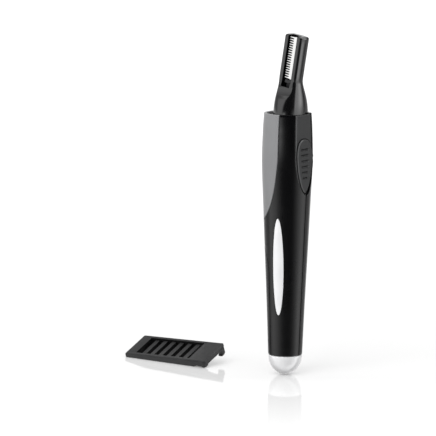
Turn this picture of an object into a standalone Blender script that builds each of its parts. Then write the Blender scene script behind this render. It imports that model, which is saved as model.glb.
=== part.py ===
"""A slim beard and eyebrow trimmer with its guide comb beside it.

Metres, +Z up along the barrel. The origin is the lowest point of the domed end cap, on the barrel's axis.
The thumb switch faces -Y, the blades face -X and the small head leans toward the switch side.
"""

from math import asin, cos, hypot, pi, radians, sin, tan

import bmesh
import bpy
from mathutils import Matrix, Vector

# Fits
SEAM = 0.0003
RUNNING_GAP = 0.00015
OVERRUN = 0.004
EDGE = 0.0003
MERGE_DISTANCE = 0.000002
ROUND_SEGMENTS = 32
DISC_SEGMENTS = 28
SMALL_SEGMENTS = 12
CURVE_STEPS = 8

# Barrel. Sizes across it, here and below, are shares of its widest radius, so that its inside follows it.
BARREL_TOP = 0.1085
BARREL_RADIUS = 0.0104
WALL_SHARE = 0.1058
WALL = BARREL_RADIUS * WALL_SHARE
RIM_WALL = 0.0006
BARREL_SEGMENTS = 40
BARREL_RINGS = 13
HOLLOW_RINGS = 9
# Each row is a share of the height from the cap to the rim, and a share of the widest radius.
BARREL_SHARES = (
    (0.0, 0.675),
    (0.205, 0.752),
    (0.47, 0.868),
    (0.64, 0.938),
    (0.805, 1.0),
    (0.94, 0.967),
    (1.0, 0.93),
)
BARREL_FOOT_ROUND = 0.0005

# Domed end cap
CAP_HEIGHT = 0.0083
CAP_SPIGOT_HEIGHT = 0.002
CAP_RINGS = 9

# Front facet, thumb switch and the plate that it slides on
FACET_DEPTH_SHARE = 0.1875
FACET_DEPTH = BARREL_RADIUS * FACET_DEPTH_SHARE
FACET_Z = 0.090
FACET_TILT = radians(1.45)
RECESS_HALF_WIDTH_SHARE = 0.5865
RECESS_HALF_WIDTH = BARREL_RADIUS * RECESS_HALF_WIDTH_SHARE
RECESS_FLARE_SHARE = 0.1154
RECESS_FLARE = BARREL_RADIUS * RECESS_FLARE_SHARE
TEARDROP_Z = 0.091
RECESS_TIP_DROP = 0.0160
# The teardrop's handles: shares of its half width, and of its rise or drop.
TEARDROP_UPPER_SHARES = (0.68, 0.62)
TEARDROP_LOWER_SHARES = (0.45, 0.5, 0.95)
TEARDROP_STEPS = 7
TRACK_INSET = 0.0005
TRACK_TOP_HALF_WIDTH_SHARE = 0.4712
TRACK_TOP_HALF_WIDTH = BARREL_RADIUS * TRACK_TOP_HALF_WIDTH_SHARE
TRACK_THICKNESS = 0.0006
THUMB_MARGIN = 0.0012
THUMB_APEX_RISE = 0.0072
THUMB_THICKNESS = 0.0005
THUMB_CROWN = 0.0002
THUMB_TRAVEL = 0.004
GROOVE_COUNT = 6
GROOVE_PITCH = 0.00234
GROOVE_HALF_WIDTH_SHARE = 0.2788
GROOVE_HALF_WIDTH = BARREL_RADIUS * GROOVE_HALF_WIDTH_SHARE
GROOVE_DEPTH = 0.00025
GROOVE_WIDTH = 0.0010
GROOVE_FIRST_RISE = 0.0030
GROOVE_TAPER_SHARE = 0.4
STEM_WIDTH_SHARE = 0.2885
STEM_WIDTH = BARREL_RADIUS * STEM_WIDTH_SHARE
STEM_HEIGHT = 0.0024
STEM_DROP = 0.009
STEM_REACH = 0.0009
STEM_ROOT = 0.0002

# Slide switch and circuit board
SWITCH_WIDTH_SHARE = 0.5769
SWITCH_WIDTH = BARREL_RADIUS * SWITCH_WIDTH_SHARE
SWITCH_DEPTH_SHARE = 0.2308
SWITCH_DEPTH = BARREL_RADIUS * SWITCH_DEPTH_SHARE
SWITCH_HEIGHT = 0.0098
SWITCH_POCKET_DEPTH = 0.001
LEVER_WIDTH = 0.0018
LEVER_HEIGHT = 0.0014
BOARD_THICKNESS = 0.0008
BOARD_BOTTOM = 0.0665
BOARD_MARGIN = 0.0006

# Rear grip, seen from the side: a straight front edge that sweeps back at its lower end
GRIP_FRONT_SHARE = -0.2692
GRIP_FRONT_Y = BARREL_RADIUS * GRIP_FRONT_SHARE
GRIP_BEND_Z = 0.090
GRIP_TAIL_Z = 0.0626
# The sweep's two handles: shares of the drop along it, and of the drop still to go.
GRIP_SWEEP_SHARES = ((0.06, 0.42), (0.14, 0.12))
GRIP_STEPS = 10

# Battery door, seen from the side
DOOR_FOOT_SHARE = 0.2212
DOOR_FOOT_Y = BARREL_RADIUS * DOOR_FOOT_SHARE
DOOR_SHOULDER_SHARE = 0.2596
DOOR_SHOULDER_Y = BARREL_RADIUS * DOOR_SHOULDER_SHARE
DOOR_SHOULDER_Z = 0.0440
DOOR_ARCH_Z = 0.0560
# The arch's two handles: shares of the barrel's radius across, and of the arch's height up or down.
DOOR_ARCH_SHARES = ((0.03, 0.5), (0.56, 0.22))
DOOR_STEPS = 8

# Oval inlays on the two sides
INLAY_ANGLE = radians(73)
INLAY_MIDDLE_Z = 0.0446
INLAY_HALF_HEIGHT = 0.0201
INLAY_HALF_WIDTH_SHARE = 0.2308
INLAY_HALF_WIDTH = BARREL_RADIUS * INLAY_HALF_WIDTH_SHARE
INLAY_DEPTH = 0.0004
INLAY_CROWN = 0.0001
INLAY_POINTS = 28
INLAY_RINGS = 9

# Battery and its contacts
CELL_RADIUS_SHARE = 0.5048
CELL_RADIUS = BARREL_RADIUS * CELL_RADIUS_SHARE
CELL_LENGTH = 0.0445
CELL_NUB_RADIUS_SHARE = 0.1827
CELL_NUB_RADIUS = BARREL_RADIUS * CELL_NUB_RADIUS_SHARE
CELL_NUB_HEIGHT = 0.0009
CONTACT_THICKNESS = 0.0003
CONTACT_RADIUS_SHARE = 0.4038
CONTACT_RADIUS = BARREL_RADIUS * CONTACT_RADIUS_SHARE
STRIP_WIDTH_SHARE = 0.2308
STRIP_WIDTH = BARREL_RADIUS * STRIP_WIDTH_SHARE
STRIP_THICKNESS = 0.0002
STRIP_GAP = 0.0002
SPRING_WIRE_RADIUS = 0.0002
SPRING_LOW_RADIUS_SHARE = 0.2115
SPRING_LOW_RADIUS = BARREL_RADIUS * SPRING_LOW_RADIUS_SHARE
SPRING_TOP_RADIUS_SHARE = 0.3846
SPRING_TOP_RADIUS = BARREL_RADIUS * SPRING_TOP_RADIUS_SHARE
SPRING_HEIGHT = 0.0036
SPRING_TURNS = 4
SPRING_POINTS_PER_TURN = 10

# Chassis
TRAY_THICKNESS = 0.0007
TRAY_BOTTOM = 0.034
TRAY_FRONT_REACH = 0.0006
BULKHEAD_THICKNESS = 0.002
POST_WIDTH = 0.001
POST_DEPTH = 0.0024
POST_TOP = 0.0937
STRIP_SLOT_MARGIN = 0.0004

# Motor
MOTOR_RADIUS_SHARE = 0.5769
MOTOR_RADIUS = BARREL_RADIUS * MOTOR_RADIUS_SHARE
MOTOR_FLAT_SHARE = 0.4808
MOTOR_FLAT = BARREL_RADIUS * MOTOR_FLAT_SHARE
MOTOR_SHARE = -0.0769
MOTOR_Y = BARREL_RADIUS * MOTOR_SHARE
MOTOR_BOTTOM = 0.0882
END_BELL_HEIGHT = 0.0018
MOTOR_LENGTH = 0.0138
MOTOR_BOSS_RADIUS_SHARE = 0.25
MOTOR_BOSS_RADIUS = BARREL_RADIUS * MOTOR_BOSS_RADIUS_SHARE
MOTOR_BOSS_HEIGHT = 0.0008
SHAFT_RADIUS = 0.0005
SHAFT_LENGTH = 0.0088
TERMINAL_SHARE = 0.3077
TERMINAL_X = BARREL_RADIUS * TERMINAL_SHARE
TERMINAL_WIDTH = 0.0012
TERMINAL_THICKNESS = 0.0003
TERMINAL_HEIGHT = 0.0018
CRADLE_BOTTOM = 0.0940
CRADLE_HEIGHT = 0.005
CRADLE_FRONT_SHARE = -0.6346
CRADLE_FRONT_Y = BARREL_RADIUS * CRADLE_FRONT_SHARE
LEAD_RADIUS = 0.00045
LEAD_START_SHARE = 0.4
MOTOR_STEPS = 8

# Drive cam: a drum with a slanted groove that lifts and lowers the peg in it
CAM_RADIUS_SHARE = 0.2788
CAM_RADIUS = BARREL_RADIUS * CAM_RADIUS_SHARE
CAM_BOTTOM = 0.1037
CAM_HEIGHT = 0.0056
CAM_GROOVE_DEPTH = 0.001
CAM_SLANT = radians(11)
STROKE = 0.0005
PEG_RADIUS = 0.0005
PEG_CLEARANCE = 0.0002
CAM_SEGMENTS = 24

# Head
NECK_Z = 0.122
NECK_Y = -0.0015
HEAD_LEAN = radians(9.5)
HEAD_LENGTH = 0.0186
HEAD_THICKNESS = 0.0065
HEAD_WIDTH = 0.0092
HEAD_CORNER = 0.0013
HEAD_TOP_ROUND = 0.0009
HEAD_BOTTOM = 0.103
BASE_SHOULDER_Z = 0.110
BASE_THICKNESS_SHARE = 1.4615
BASE_THICKNESS = BARREL_RADIUS * BASE_THICKNESS_SHARE
BASE_FRONT_SHARE = -0.6827
BASE_FRONT_Y = BARREL_RADIUS * BASE_FRONT_SHARE
BASE_BACK_SHARE = 0.3558
BASE_BACK_Y = BARREL_RADIUS * BASE_BACK_SHARE
BASE_CORNER_SHARE = 0.4231
BASE_CORNER = BARREL_RADIUS * BASE_CORNER_SHARE
HEAD_WALL = 0.0011
HEAD_CAVITY_TOP = 0.1165
HEAD_CORNER_POINTS = 5
FLARE_SECTIONS = 7
HEAD_TOP_SHARE = 0.3
CAVITY_SHARES = (0.5, 1.0)
SLOT_HALF_WIDTH = 0.00225
SLOT_FLOOR_X = 0.0002
SLOT_BOTTOM = -0.0027
ROD_CHANNEL_HALF_WIDTH = 0.0016
ROD_CHANNEL_LOW_X = -0.0019

# Collar that holds the head's foot
COLLAR_BOTTOM = 0.1021
COLLAR_FLOOR = 0.0006
COLLAR_HEIGHT = 0.0036
COLLAR_BORE_SHARE = 0.4038
COLLAR_BORE = BARREL_RADIUS * COLLAR_BORE_SHARE

# Blades
BLADE_LENGTH = 0.0176
BLADE_BOTTOM = 0.0008
BLADE_THICKNESS = 0.0003
BLADE_INSET = 0.0001
SPINE_WIDTH = 0.0014
TOOTH_LENGTH = 0.0019
TOOTH_COUNT = 18
TOOTH_ROOT_SHARE = 0.55
TOOTH_TIP_SHARE = 0.28
CUTTER_TOOTH_COUNT = 15
BLADE_SPRING_THICKNESS = 0.0002
BLADE_SPRING_WIDTH = 0.0011
SPRING_BOW_SHARE = 0.5

# Blade carrier
CARRIER_LOW_U = -0.0010
CARRIER_HIGH_U = 0.0014
CARRIER_BOTTOM = -0.0011
CARRIER_TOP = 0.0002
CARRIER_BACK_X = -0.0002
ROD_THICKNESS = 0.0011
ROD_HALF_WIDTH = 0.0011
ROD_BOTTOM = -0.0092
ARM_THICKNESS_SHARE = 0.0962
ARM_THICKNESS = BARREL_RADIUS * ARM_THICKNESS_SHARE
ARM_GAP_SHARE = 0.0673
ARM_GAP = BARREL_RADIUS * ARM_GAP_SHARE
ARM_HALF_WIDTH = 0.0009
CROSSBAR_THICKNESS = 0.0018
TONGUE_LENGTH = 0.009

# Guide comb
COMB_LENGTH = 0.0411
COMB_WIDTH = 0.0146
COMB_PLACE = (-0.01668, 0.0725, 0.0016)
COMB_YAW = radians(3.9)
COMB_PITCH = radians(1.8)
COMB_TILT = radians(20.8)
COMB_PLATE = 0.0012
COMB_RAIL = 0.0014
COMB_CORNER = 0.0005
COMB_CORNER_STEPS = 5
COMB_WINDOW_NEAR = 0.0018
COMB_WINDOW_FAR = 0.0016
COMB_WINDOW_START = 0.0050
COMB_WINDOW_LENGTH = 0.0270
COMB_BARS = 6
COMB_BAR_START = 0.0034
COMB_BAR_PITCH = 0.0042
COMB_BAR_WIDTH = 0.0021
COMB_BAR_DROP = 0.0010
COMB_BAR_DEPTH = 0.0026
COMB_NEAR_REACH = 0.0352
COMB_FAR_REACH = 0.0300
COMB_NOTCH_DROP = 0.0023
COMB_LUG_LENGTH = 0.0028
COMB_NEAR_LUG_DEPTH = 0.0034
COMB_FAR_LUG_DEPTH = 0.0053
COMB_LUG_HOOK = 0.0007
COMB_SKIRT = 0.0050


# Sizes worked out from the ones above
BARREL_BOTTOM = CAP_HEIGHT + SEAM
FACET_Y = -(BARREL_RADIUS - FACET_DEPTH)
SPIGOT_TOP = CAP_HEIGHT + CAP_SPIGOT_HEIGHT
CONTACT_BOTTOM = SPIGOT_TOP + SEAM
CELL_BOTTOM = CONTACT_BOTTOM + CONTACT_THICKNESS + SEAM
CELL_TOP = CELL_BOTTOM + CELL_LENGTH
SPRING_BOTTOM = CELL_TOP + SEAM
SPRING_PLATE_BOTTOM = SPRING_BOTTOM + SPRING_HEIGHT + SEAM
BULKHEAD_BOTTOM = SPRING_PLATE_BOTTOM + CONTACT_THICKNESS + SEAM
BULKHEAD_TOP = BULKHEAD_BOTTOM + BULKHEAD_THICKNESS
MOTOR_TOP = MOTOR_BOTTOM + MOTOR_LENGTH
CAM_TOP = CAM_BOTTOM + CAM_HEIGHT
CAM_MIDDLE = (CAM_BOTTOM + CAM_TOP) / 2
BLADE_FACE_X = -HEAD_THICKNESS / 2
FIXED_BLADE_X = BLADE_FACE_X + BLADE_INSET
CUTTER_X = FIXED_BLADE_X + BLADE_THICKNESS + RUNNING_GAP
CARRIER_FACE_X = CUTTER_X + BLADE_THICKNESS
BLADE_EDGE_U = -SLOT_HALF_WIDTH + RUNNING_GAP
THUMB_FACE = -RUNNING_GAP
STEM_TOP = TEARDROP_Z - STEM_DROP - FACET_Z
SWITCH_FACE = TRACK_THICKNESS + STEM_REACH + SEAM
BOARD_HALF_WIDTH = MOTOR_RADIUS
BOARD_FRONT_Y = FACET_Y + SWITCH_FACE + SWITCH_DEPTH + SEAM
BOARD_BACK_Y = BOARD_FRONT_Y + BOARD_THICKNESS
LEVER_LOW = STEM_TOP - STEM_HEIGHT + (STEM_HEIGHT - LEVER_HEIGHT) / 2
SWITCH_LOW = LEVER_LOW - (SWITCH_HEIGHT - THUMB_TRAVEL - LEVER_HEIGHT) / 2


def material(name, colour, roughness, metallic=0.0):
    made = bpy.data.materials.new(name)
    made.use_nodes = True
    shader = made.node_tree.nodes["Principled BSDF"]
    shader.inputs["Base Color"].default_value = (*colour, 1.0)
    shader.inputs["Roughness"].default_value = roughness
    shader.inputs["Metallic"].default_value = metallic
    made.diffuse_color = (*colour, 1.0)
    return made


def add_object(name, bm, look=None, frame=None):
    """A named object from a bmesh. One without a look is a cutter or helper, left out of the model."""
    bmesh.ops.recalc_face_normals(bm, faces=bm.faces[:])
    mesh = bpy.data.meshes.new(name)
    bm.to_mesh(mesh)
    bm.free()
    made = bpy.data.objects.new(name, mesh)
    bpy.context.scene.collection.objects.link(made)
    made.parent = frame
    if look is None:
        made.hide_render = True
        made.display_type = "WIRE"
    else:
        mesh.materials.append(look)
        mesh.shade_smooth()
        mesh.set_sharp_from_angle(angle=radians(32))
    return made


def add_frame(name, place, turn):
    frame = bpy.data.objects.new(name, None)
    bpy.context.scene.collection.objects.link(frame)
    frame.location = place
    frame.rotation_euler = turn
    return frame


def combine(target, other, operation):
    step = target.modifiers.new(other.name, "BOOLEAN")
    step.operation = operation
    step.object = other
    step.solver = "EXACT"
    other.hide_render = True
    other.display_type = "WIRE"
    return target


def cut(target, *others):
    for other in others:
        combine(target, other, "DIFFERENCE")
    return target


def keep(target, *others):
    for other in others:
        combine(target, other, "INTERSECT")
    return target


def fuse(target, *others):
    for other in others:
        combine(target, other, "UNION")
    return target


def turned_bmesh(profile, segments):
    """Spins (radius, height) points about Z. A profile that starts and ends on the axis makes a solid."""
    bm = bmesh.new()
    corners = [bm.verts.new((radius, 0.0, height)) for radius, height in profile]
    edges = [bm.edges.new(pair) for pair in zip(corners, corners[1:])]
    if profile[0][0] > 0:
        edges.append(bm.edges.new((corners[-1], corners[0])))
    geom = corners + edges
    middle = (0, 0, 0)
    bmesh.ops.spin(bm, geom=geom, cent=middle, axis=(0, 0, 1), angle=2 * pi, steps=segments, use_merge=True)
    bmesh.ops.remove_doubles(bm, verts=bm.verts[:], dist=MERGE_DISTANCE)
    return bm


def turned(name, profile, segments, look=None, frame=None, place=(0, 0, 0)):
    made = add_object(name, turned_bmesh(profile, segments), look, frame)
    made.location = place
    return made


def disc(name, radius, low, high, look=None, frame=None, place=(0, 0, 0), segments=DISC_SEGMENTS):
    profile = [(0, low), (radius, low), (radius, high), (0, high)]
    return turned(name, profile, segments, look, frame, place)


def prism(name, outline, axis, low, high, look=None, frame=None):
    """An outline pushed along an axis: points are (y, z) along X, (x, z) along Y and (x, y) along Z."""
    bm = bmesh.new()
    place = {
        "X": lambda a, b, depth: (depth, a, b),
        "Y": lambda a, b, depth: (a, depth, b),
        "Z": lambda a, b, depth: (a, b, depth),
    }[axis]
    face = bm.faces.new([bm.verts.new(place(a, b, low)) for a, b in outline])
    grown = bmesh.ops.extrude_face_region(bm, geom=[face])["geom"]
    moved = [item for item in grown if isinstance(item, bmesh.types.BMVert)]
    bmesh.ops.translate(bm, verts=moved, vec=place(0, 0, high - low))
    return add_object(name, bm, look, frame)


def box(name, low, high, look=None, frame=None):
    outline = [(low[0], low[1]), (high[0], low[1]), (high[0], high[1]), (low[0], high[1])]
    return prism(name, outline, "Z", low[2], high[2], look, frame)


def loft(name, rings, look=None, frame=None):
    """Bridges rings of equal length and closes both ends."""
    bm = bmesh.new()
    loops = []
    for ring in rings:
        corners = [bm.verts.new(point) for point in ring]
        loops.append([bm.edges.new((a, b)) for a, b in zip(corners, corners[1:] + corners[:1])])
    for lower, upper in zip(loops, loops[1:]):
        bmesh.ops.bridge_loops(bm, edges=lower + upper)
    bmesh.ops.holes_fill(bm, edges=loops[0] + loops[-1])
    return add_object(name, bm, look, frame)


def bevelled(made, width, segments=2, angle=radians(40)):
    step = made.modifiers.new("Bevel", "BEVEL")
    step.width = width
    step.segments = segments
    step.limit_method = "ANGLE"
    step.angle_limit = angle
    return made


def bezier(a, b, c, d, steps):
    points = []
    for index in range(steps + 1):
        t = index / steps
        weights = ((1 - t) ** 3, 3 * t * (1 - t) ** 2, 3 * t * t * (1 - t), t**3)
        points.append(tuple(sum(w * p[axis] for w, p in zip(weights, (a, b, c, d))) for axis in (0, 1)))
    return points


def smooth_step(share):
    share = min(max(share, 0.0), 1.0)
    return share * share * (3 - 2 * share)


def barrel_radius(height):
    """The barrel's outer radius, by a smooth curve through its named shares."""
    share = (height - BARREL_BOTTOM) / (BARREL_TOP - BARREL_BOTTOM)
    share = min(max(share, 0.0), 1.0)
    rows = BARREL_SHARES
    index = max(i for i in range(len(rows) - 1) if rows[i][0] <= share)
    (t1, p1), (t2, p2) = rows[index], rows[index + 1]
    t0, p0 = rows[max(index - 1, 0)]
    t3, p3 = rows[min(index + 2, len(rows) - 1)]
    slope1 = (p2 - p0) / (t2 - t0)
    slope2 = (p3 - p1) / (t3 - t1)
    span = t2 - t1
    t = (share - t1) / span
    hermite = (
        (2 * t**3 - 3 * t**2 + 1) * p1
        + (t**3 - 2 * t**2 + t) * span * slope1
        + (3 * t**2 - 2 * t**3) * p2
        + (t**3 - t**2) * span * slope2
    )
    return hermite * BARREL_RADIUS


def barrel_profile(offset, low, high, rings=BARREL_RINGS):
    heights = [low + (high - low) * index / (rings - 1) for index in range(rings)]
    return [(barrel_radius(height) + offset, height) for height in heights]


def rim_bore():
    return barrel_radius(BARREL_TOP) - RIM_WALL


def barrel_solid(name, look=None):
    """The barrel's outer form, with a small round at its foot."""
    sides = barrel_profile(0, BARREL_BOTTOM + BARREL_FOOT_ROUND, BARREL_TOP)
    foot = barrel_radius(BARREL_BOTTOM) - BARREL_FOOT_ROUND
    profile = [(0, BARREL_BOTTOM), (foot, BARREL_BOTTOM)] + sides + [(0, BARREL_TOP)]
    return turned(name, profile, BARREL_SEGMENTS, look)


def barrel_hollow(name):
    low = BARREL_BOTTOM - OVERRUN
    high = BARREL_TOP + OVERRUN
    step = COLLAR_BOTTOM - SEAM
    inner = barrel_profile(-WALL, BARREL_BOTTOM, step, HOLLOW_RINGS)
    bore = rim_bore()
    profile = [(0, low), (inner[0][0], low)] + inner + [(bore, step), (bore, high), (0, high)]
    return turned(name, profile, BARREL_SEGMENTS)


def grip_outline(inset):
    """Side view of the rear grip, as (y, z), drawn in by an inset from its edge."""
    front = GRIP_FRONT_Y + inset
    back = BARREL_RADIUS + OVERRUN
    tail = GRIP_TAIL_Z + inset
    drop = GRIP_BEND_Z - GRIP_TAIL_Z
    (back_upper, left_upper), (back_lower, left_lower) = GRIP_SWEEP_SHARES
    sweep = bezier(
        (front, GRIP_BEND_Z),
        (front + drop * back_upper, tail + drop * left_upper),
        (front + drop * back_lower, tail + drop * left_lower),
        (BARREL_RADIUS, tail),
        GRIP_STEPS,
    )
    top = BARREL_TOP + OVERRUN
    return [(front, top)] + sweep + [(back, tail), (back, top)]


def door_outline(inset):
    """Side view of the battery door, as (y, z), drawn in by an inset from its edge."""
    rise = DOOR_ARCH_Z - DOOR_SHOULDER_Z
    (lower_across, lower_up), (upper_across, upper_down) = DOOR_ARCH_SHARES
    arch = bezier(
        (DOOR_SHOULDER_Y + inset, DOOR_SHOULDER_Z),
        (DOOR_SHOULDER_Y + inset + BARREL_RADIUS * lower_across, DOOR_SHOULDER_Z + rise * lower_up),
        (BARREL_RADIUS * upper_across, DOOR_ARCH_Z - inset - rise * upper_down),
        (BARREL_RADIUS, DOOR_ARCH_Z - inset),
        DOOR_STEPS,
    )
    back = BARREL_RADIUS + OVERRUN
    low = BARREL_BOTTOM - OVERRUN
    return [(DOOR_FOOT_Y + inset, low)] + arch + [(back, DOOR_ARCH_Z - inset), (back, low)]


def teardrop(half_width, rise, drop):
    """One side of a teardrop from its apex down to its tip, as (x, z) about its widest level."""
    side = (half_width, 0)
    across, up = TEARDROP_UPPER_SHARES
    upper = bezier((0, rise), (half_width * across, rise), (half_width, rise * up), side, TEARDROP_STEPS)
    first, across, second = TEARDROP_LOWER_SHARES
    handle = (half_width * across, -drop * second)
    lower = bezier(side, (half_width, -drop * first), handle, (0, -drop), TEARDROP_STEPS)
    return upper, lower[1:]


def teardrop_outline(half_width, rise, drop):
    upper, lower = teardrop(half_width, rise, drop)
    side = [(x, z + TEARDROP_Z - FACET_Z) for x, z in upper + lower]
    return side + [(-x, z) for x, z in side[-2:0:-1]]


def open_teardrop_outline(half_width, top_half_width, drop, top):
    """A teardrop's lower part whose sides run on up to a level above, in the facet's own frame."""
    lower = [(half_width, 0)] + teardrop(half_width, drop, drop)[1]
    side = [(top_half_width, top)] + [(x, z + TEARDROP_Z - FACET_Z) for x, z in lower]
    return side + [(-x, z) for x, z in side[-2::-1]]


def oval_outline(margin):
    return [
        (
            (INLAY_HALF_WIDTH + margin) * cos(2 * pi * index / INLAY_POINTS),
            INLAY_MIDDLE_Z + (INLAY_HALF_HEIGHT + margin) * sin(2 * pi * index / INLAY_POINTS),
        )
        for index in range(INLAY_POINTS)
    ]


def rounded_ring(half_x, low_y, high_y, corner, height):
    """A rounded rectangle in a level plane, as a ring of points."""
    ring = []
    for index, (sx, y) in enumerate(((1, high_y), (-1, high_y), (-1, low_y), (1, low_y))):
        sy = 1 if y == high_y else -1
        for step in range(HEAD_CORNER_POINTS):
            angle = pi / 2 * (index + step / (HEAD_CORNER_POINTS - 1))
            x = sx * (half_x - corner) + corner * cos(angle)
            ring.append((x, y - sy * corner + corner * sin(angle), height))
    return ring


def head_ring(height, inset=0.0):
    """A level section of the head's foot and flare."""
    blend = smooth_step((height - BASE_SHOULDER_Z) / (NECK_Z - BASE_SHOULDER_Z))

    def between(low, high):
        return low + (high - low) * blend

    half_x = between(BASE_THICKNESS, HEAD_THICKNESS) / 2 - inset
    front = between(BASE_FRONT_Y, NECK_Y - HEAD_WIDTH / 2) + inset
    back = between(BASE_BACK_Y, NECK_Y + HEAD_WIDTH / 2) - inset
    corner = between(BASE_CORNER, HEAD_CORNER) - inset / 2
    return rounded_ring(half_x, front, back, corner, height)


def head_upper_ring(length, inset=0.0):
    """A section of the leaning part, turned to the lean and kept in world places."""
    turn = Matrix.Translation((0, NECK_Y, NECK_Z)) @ Matrix.Rotation(HEAD_LEAN, 4, "X")
    half_x = HEAD_THICKNESS / 2 - inset
    half_width = HEAD_WIDTH / 2 - inset
    flat = rounded_ring(half_x, -half_width, half_width, HEAD_CORNER - inset / 2, length)
    return [tuple(turn @ Vector(point)) for point in flat]


def head_solid(name, look):
    levels = [HEAD_BOTTOM, BASE_SHOULDER_Z]
    span = NECK_Z - BASE_SHOULDER_Z
    step = span / (FLARE_SECTIONS + 1)
    levels += [BASE_SHOULDER_Z + step * (index + 1) for index in range(FLARE_SECTIONS)]
    rings = [head_ring(level) for level in levels]
    rings.append(head_upper_ring(HEAD_TOP_ROUND))
    rings.append(head_upper_ring(HEAD_LENGTH - HEAD_TOP_ROUND))
    shoulder = HEAD_TOP_ROUND * HEAD_TOP_SHARE
    rings.append(head_upper_ring(HEAD_LENGTH - shoulder, shoulder))
    rings.append(head_upper_ring(HEAD_LENGTH, HEAD_TOP_ROUND))
    return loft(name, rings, look)


def head_cavity(name):
    low = HEAD_BOTTOM - OVERRUN
    span = HEAD_CAVITY_TOP - BASE_SHOULDER_Z
    levels = [low, BASE_SHOULDER_Z] + [BASE_SHOULDER_Z + span * share for share in CAVITY_SHARES]
    return loft(name, [head_ring(level, HEAD_WALL) for level in levels])


def make_head(looks, head_frame):
    housing = head_solid("head_housing", looks["black_gloss"])
    slot = box(
        "blade_slot_cutter",
        (BLADE_FACE_X - OVERRUN, -SLOT_HALF_WIDTH, SLOT_BOTTOM),
        (SLOT_FLOOR_X, SLOT_HALF_WIDTH, HEAD_LENGTH + OVERRUN),
        frame=head_frame,
    )
    channel = box(
        "rod_channel_cutter",
        (ROD_CHANNEL_LOW_X, -ROD_CHANNEL_HALF_WIDTH, ROD_BOTTOM),
        (SLOT_FLOOR_X, ROD_CHANNEL_HALF_WIDTH, SLOT_BOTTOM + EDGE),
        frame=head_frame,
    )
    cut(housing, head_cavity("head_cavity_cutter"), slot, channel)


def make_collar(looks):
    floor = COLLAR_BOTTOM + COLLAR_FLOOR
    top = COLLAR_BOTTOM + COLLAR_HEIGHT
    look = looks["black_satin"]
    ring = disc("collar_ring", rim_bore() - SEAM, COLLAR_BOTTOM, top, look, segments=ROUND_SEGMENTS)
    seat = loft("head_seat_cutter", [head_ring(level, -SEAM) for level in (floor, top + OVERRUN)])
    bore = disc("collar_bore_cutter", COLLAR_BORE, COLLAR_BOTTOM - OVERRUN, top, place=(0, MOTOR_Y, 0))
    side = BARREL_RADIUS + OVERRUN
    front = BASE_FRONT_Y - SEAM / 2
    trim = box("collar_front_cutter", (-side, -side, COLLAR_BOTTOM - OVERRUN), (side, front, top + OVERRUN))
    cut(ring, seat, bore, trim)


def blade_outline(count, phase):
    """A comb-toothed strip in the head's frame, as (u, v): a spine with teeth toward +u."""
    spine = BLADE_EDGE_U + SPINE_WIDTH
    tip = spine + TOOTH_LENGTH
    pitch = BLADE_LENGTH / TOOTH_COUNT
    root_half = pitch * TOOTH_ROOT_SHARE / 2
    tip_half = pitch * TOOTH_TIP_SHARE / 2
    points = [(BLADE_EDGE_U, BLADE_BOTTOM)]
    for index in range(count):
        middle = BLADE_BOTTOM + pitch * (index + 0.5 + phase)
        points += [
            (spine, middle - root_half),
            (tip, middle - tip_half),
            (tip, middle + tip_half),
            (spine, middle + root_half),
        ]
    top = BLADE_BOTTOM + pitch * (count + 2 * phase)
    return points + [(BLADE_EDGE_U, top)]


def make_blades(looks, head_frame):
    steel = looks["bright_steel"]
    fixed = blade_outline(TOOTH_COUNT, 0)
    prism("fixed_blade", fixed, "X", FIXED_BLADE_X, FIXED_BLADE_X + BLADE_THICKNESS, steel, head_frame)
    moving = blade_outline(CUTTER_TOOTH_COUNT, 1)
    cutter_back = CUTTER_X + BLADE_THICKNESS - RUNNING_GAP / 2
    prism("moving_blade", moving, "X", CUTTER_X, cutter_back, steel, head_frame)


def make_blade_spring(looks, head_frame):
    """A bowed leaf between the slot's floor and the back of the moving blade."""
    low = BLADE_BOTTOM + TONGUE_LENGTH + STROKE + SEAM
    high = HEAD_LENGTH - HEAD_TOP_ROUND - STROKE
    seat = SLOT_FLOOR_X - RUNNING_GAP - BLADE_SPRING_THICKNESS
    crest = CARRIER_FACE_X + RUNNING_GAP
    middle = (low + high) / 2
    handle = (low + (middle - low) * SPRING_BOW_SHARE, seat)
    front = bezier((low, seat), handle, (middle, crest), (high, seat), CURVE_STEPS)
    outline = [(x, z) for z, x in front] + [(x + BLADE_SPRING_THICKNESS, z) for z, x in reversed(front)]
    low_u = BLADE_EDGE_U + EDGE
    high_u = low_u + BLADE_SPRING_WIDTH
    prism("blade_spring", outline, "Y", low_u, high_u, looks["spring_steel"], head_frame)


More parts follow.
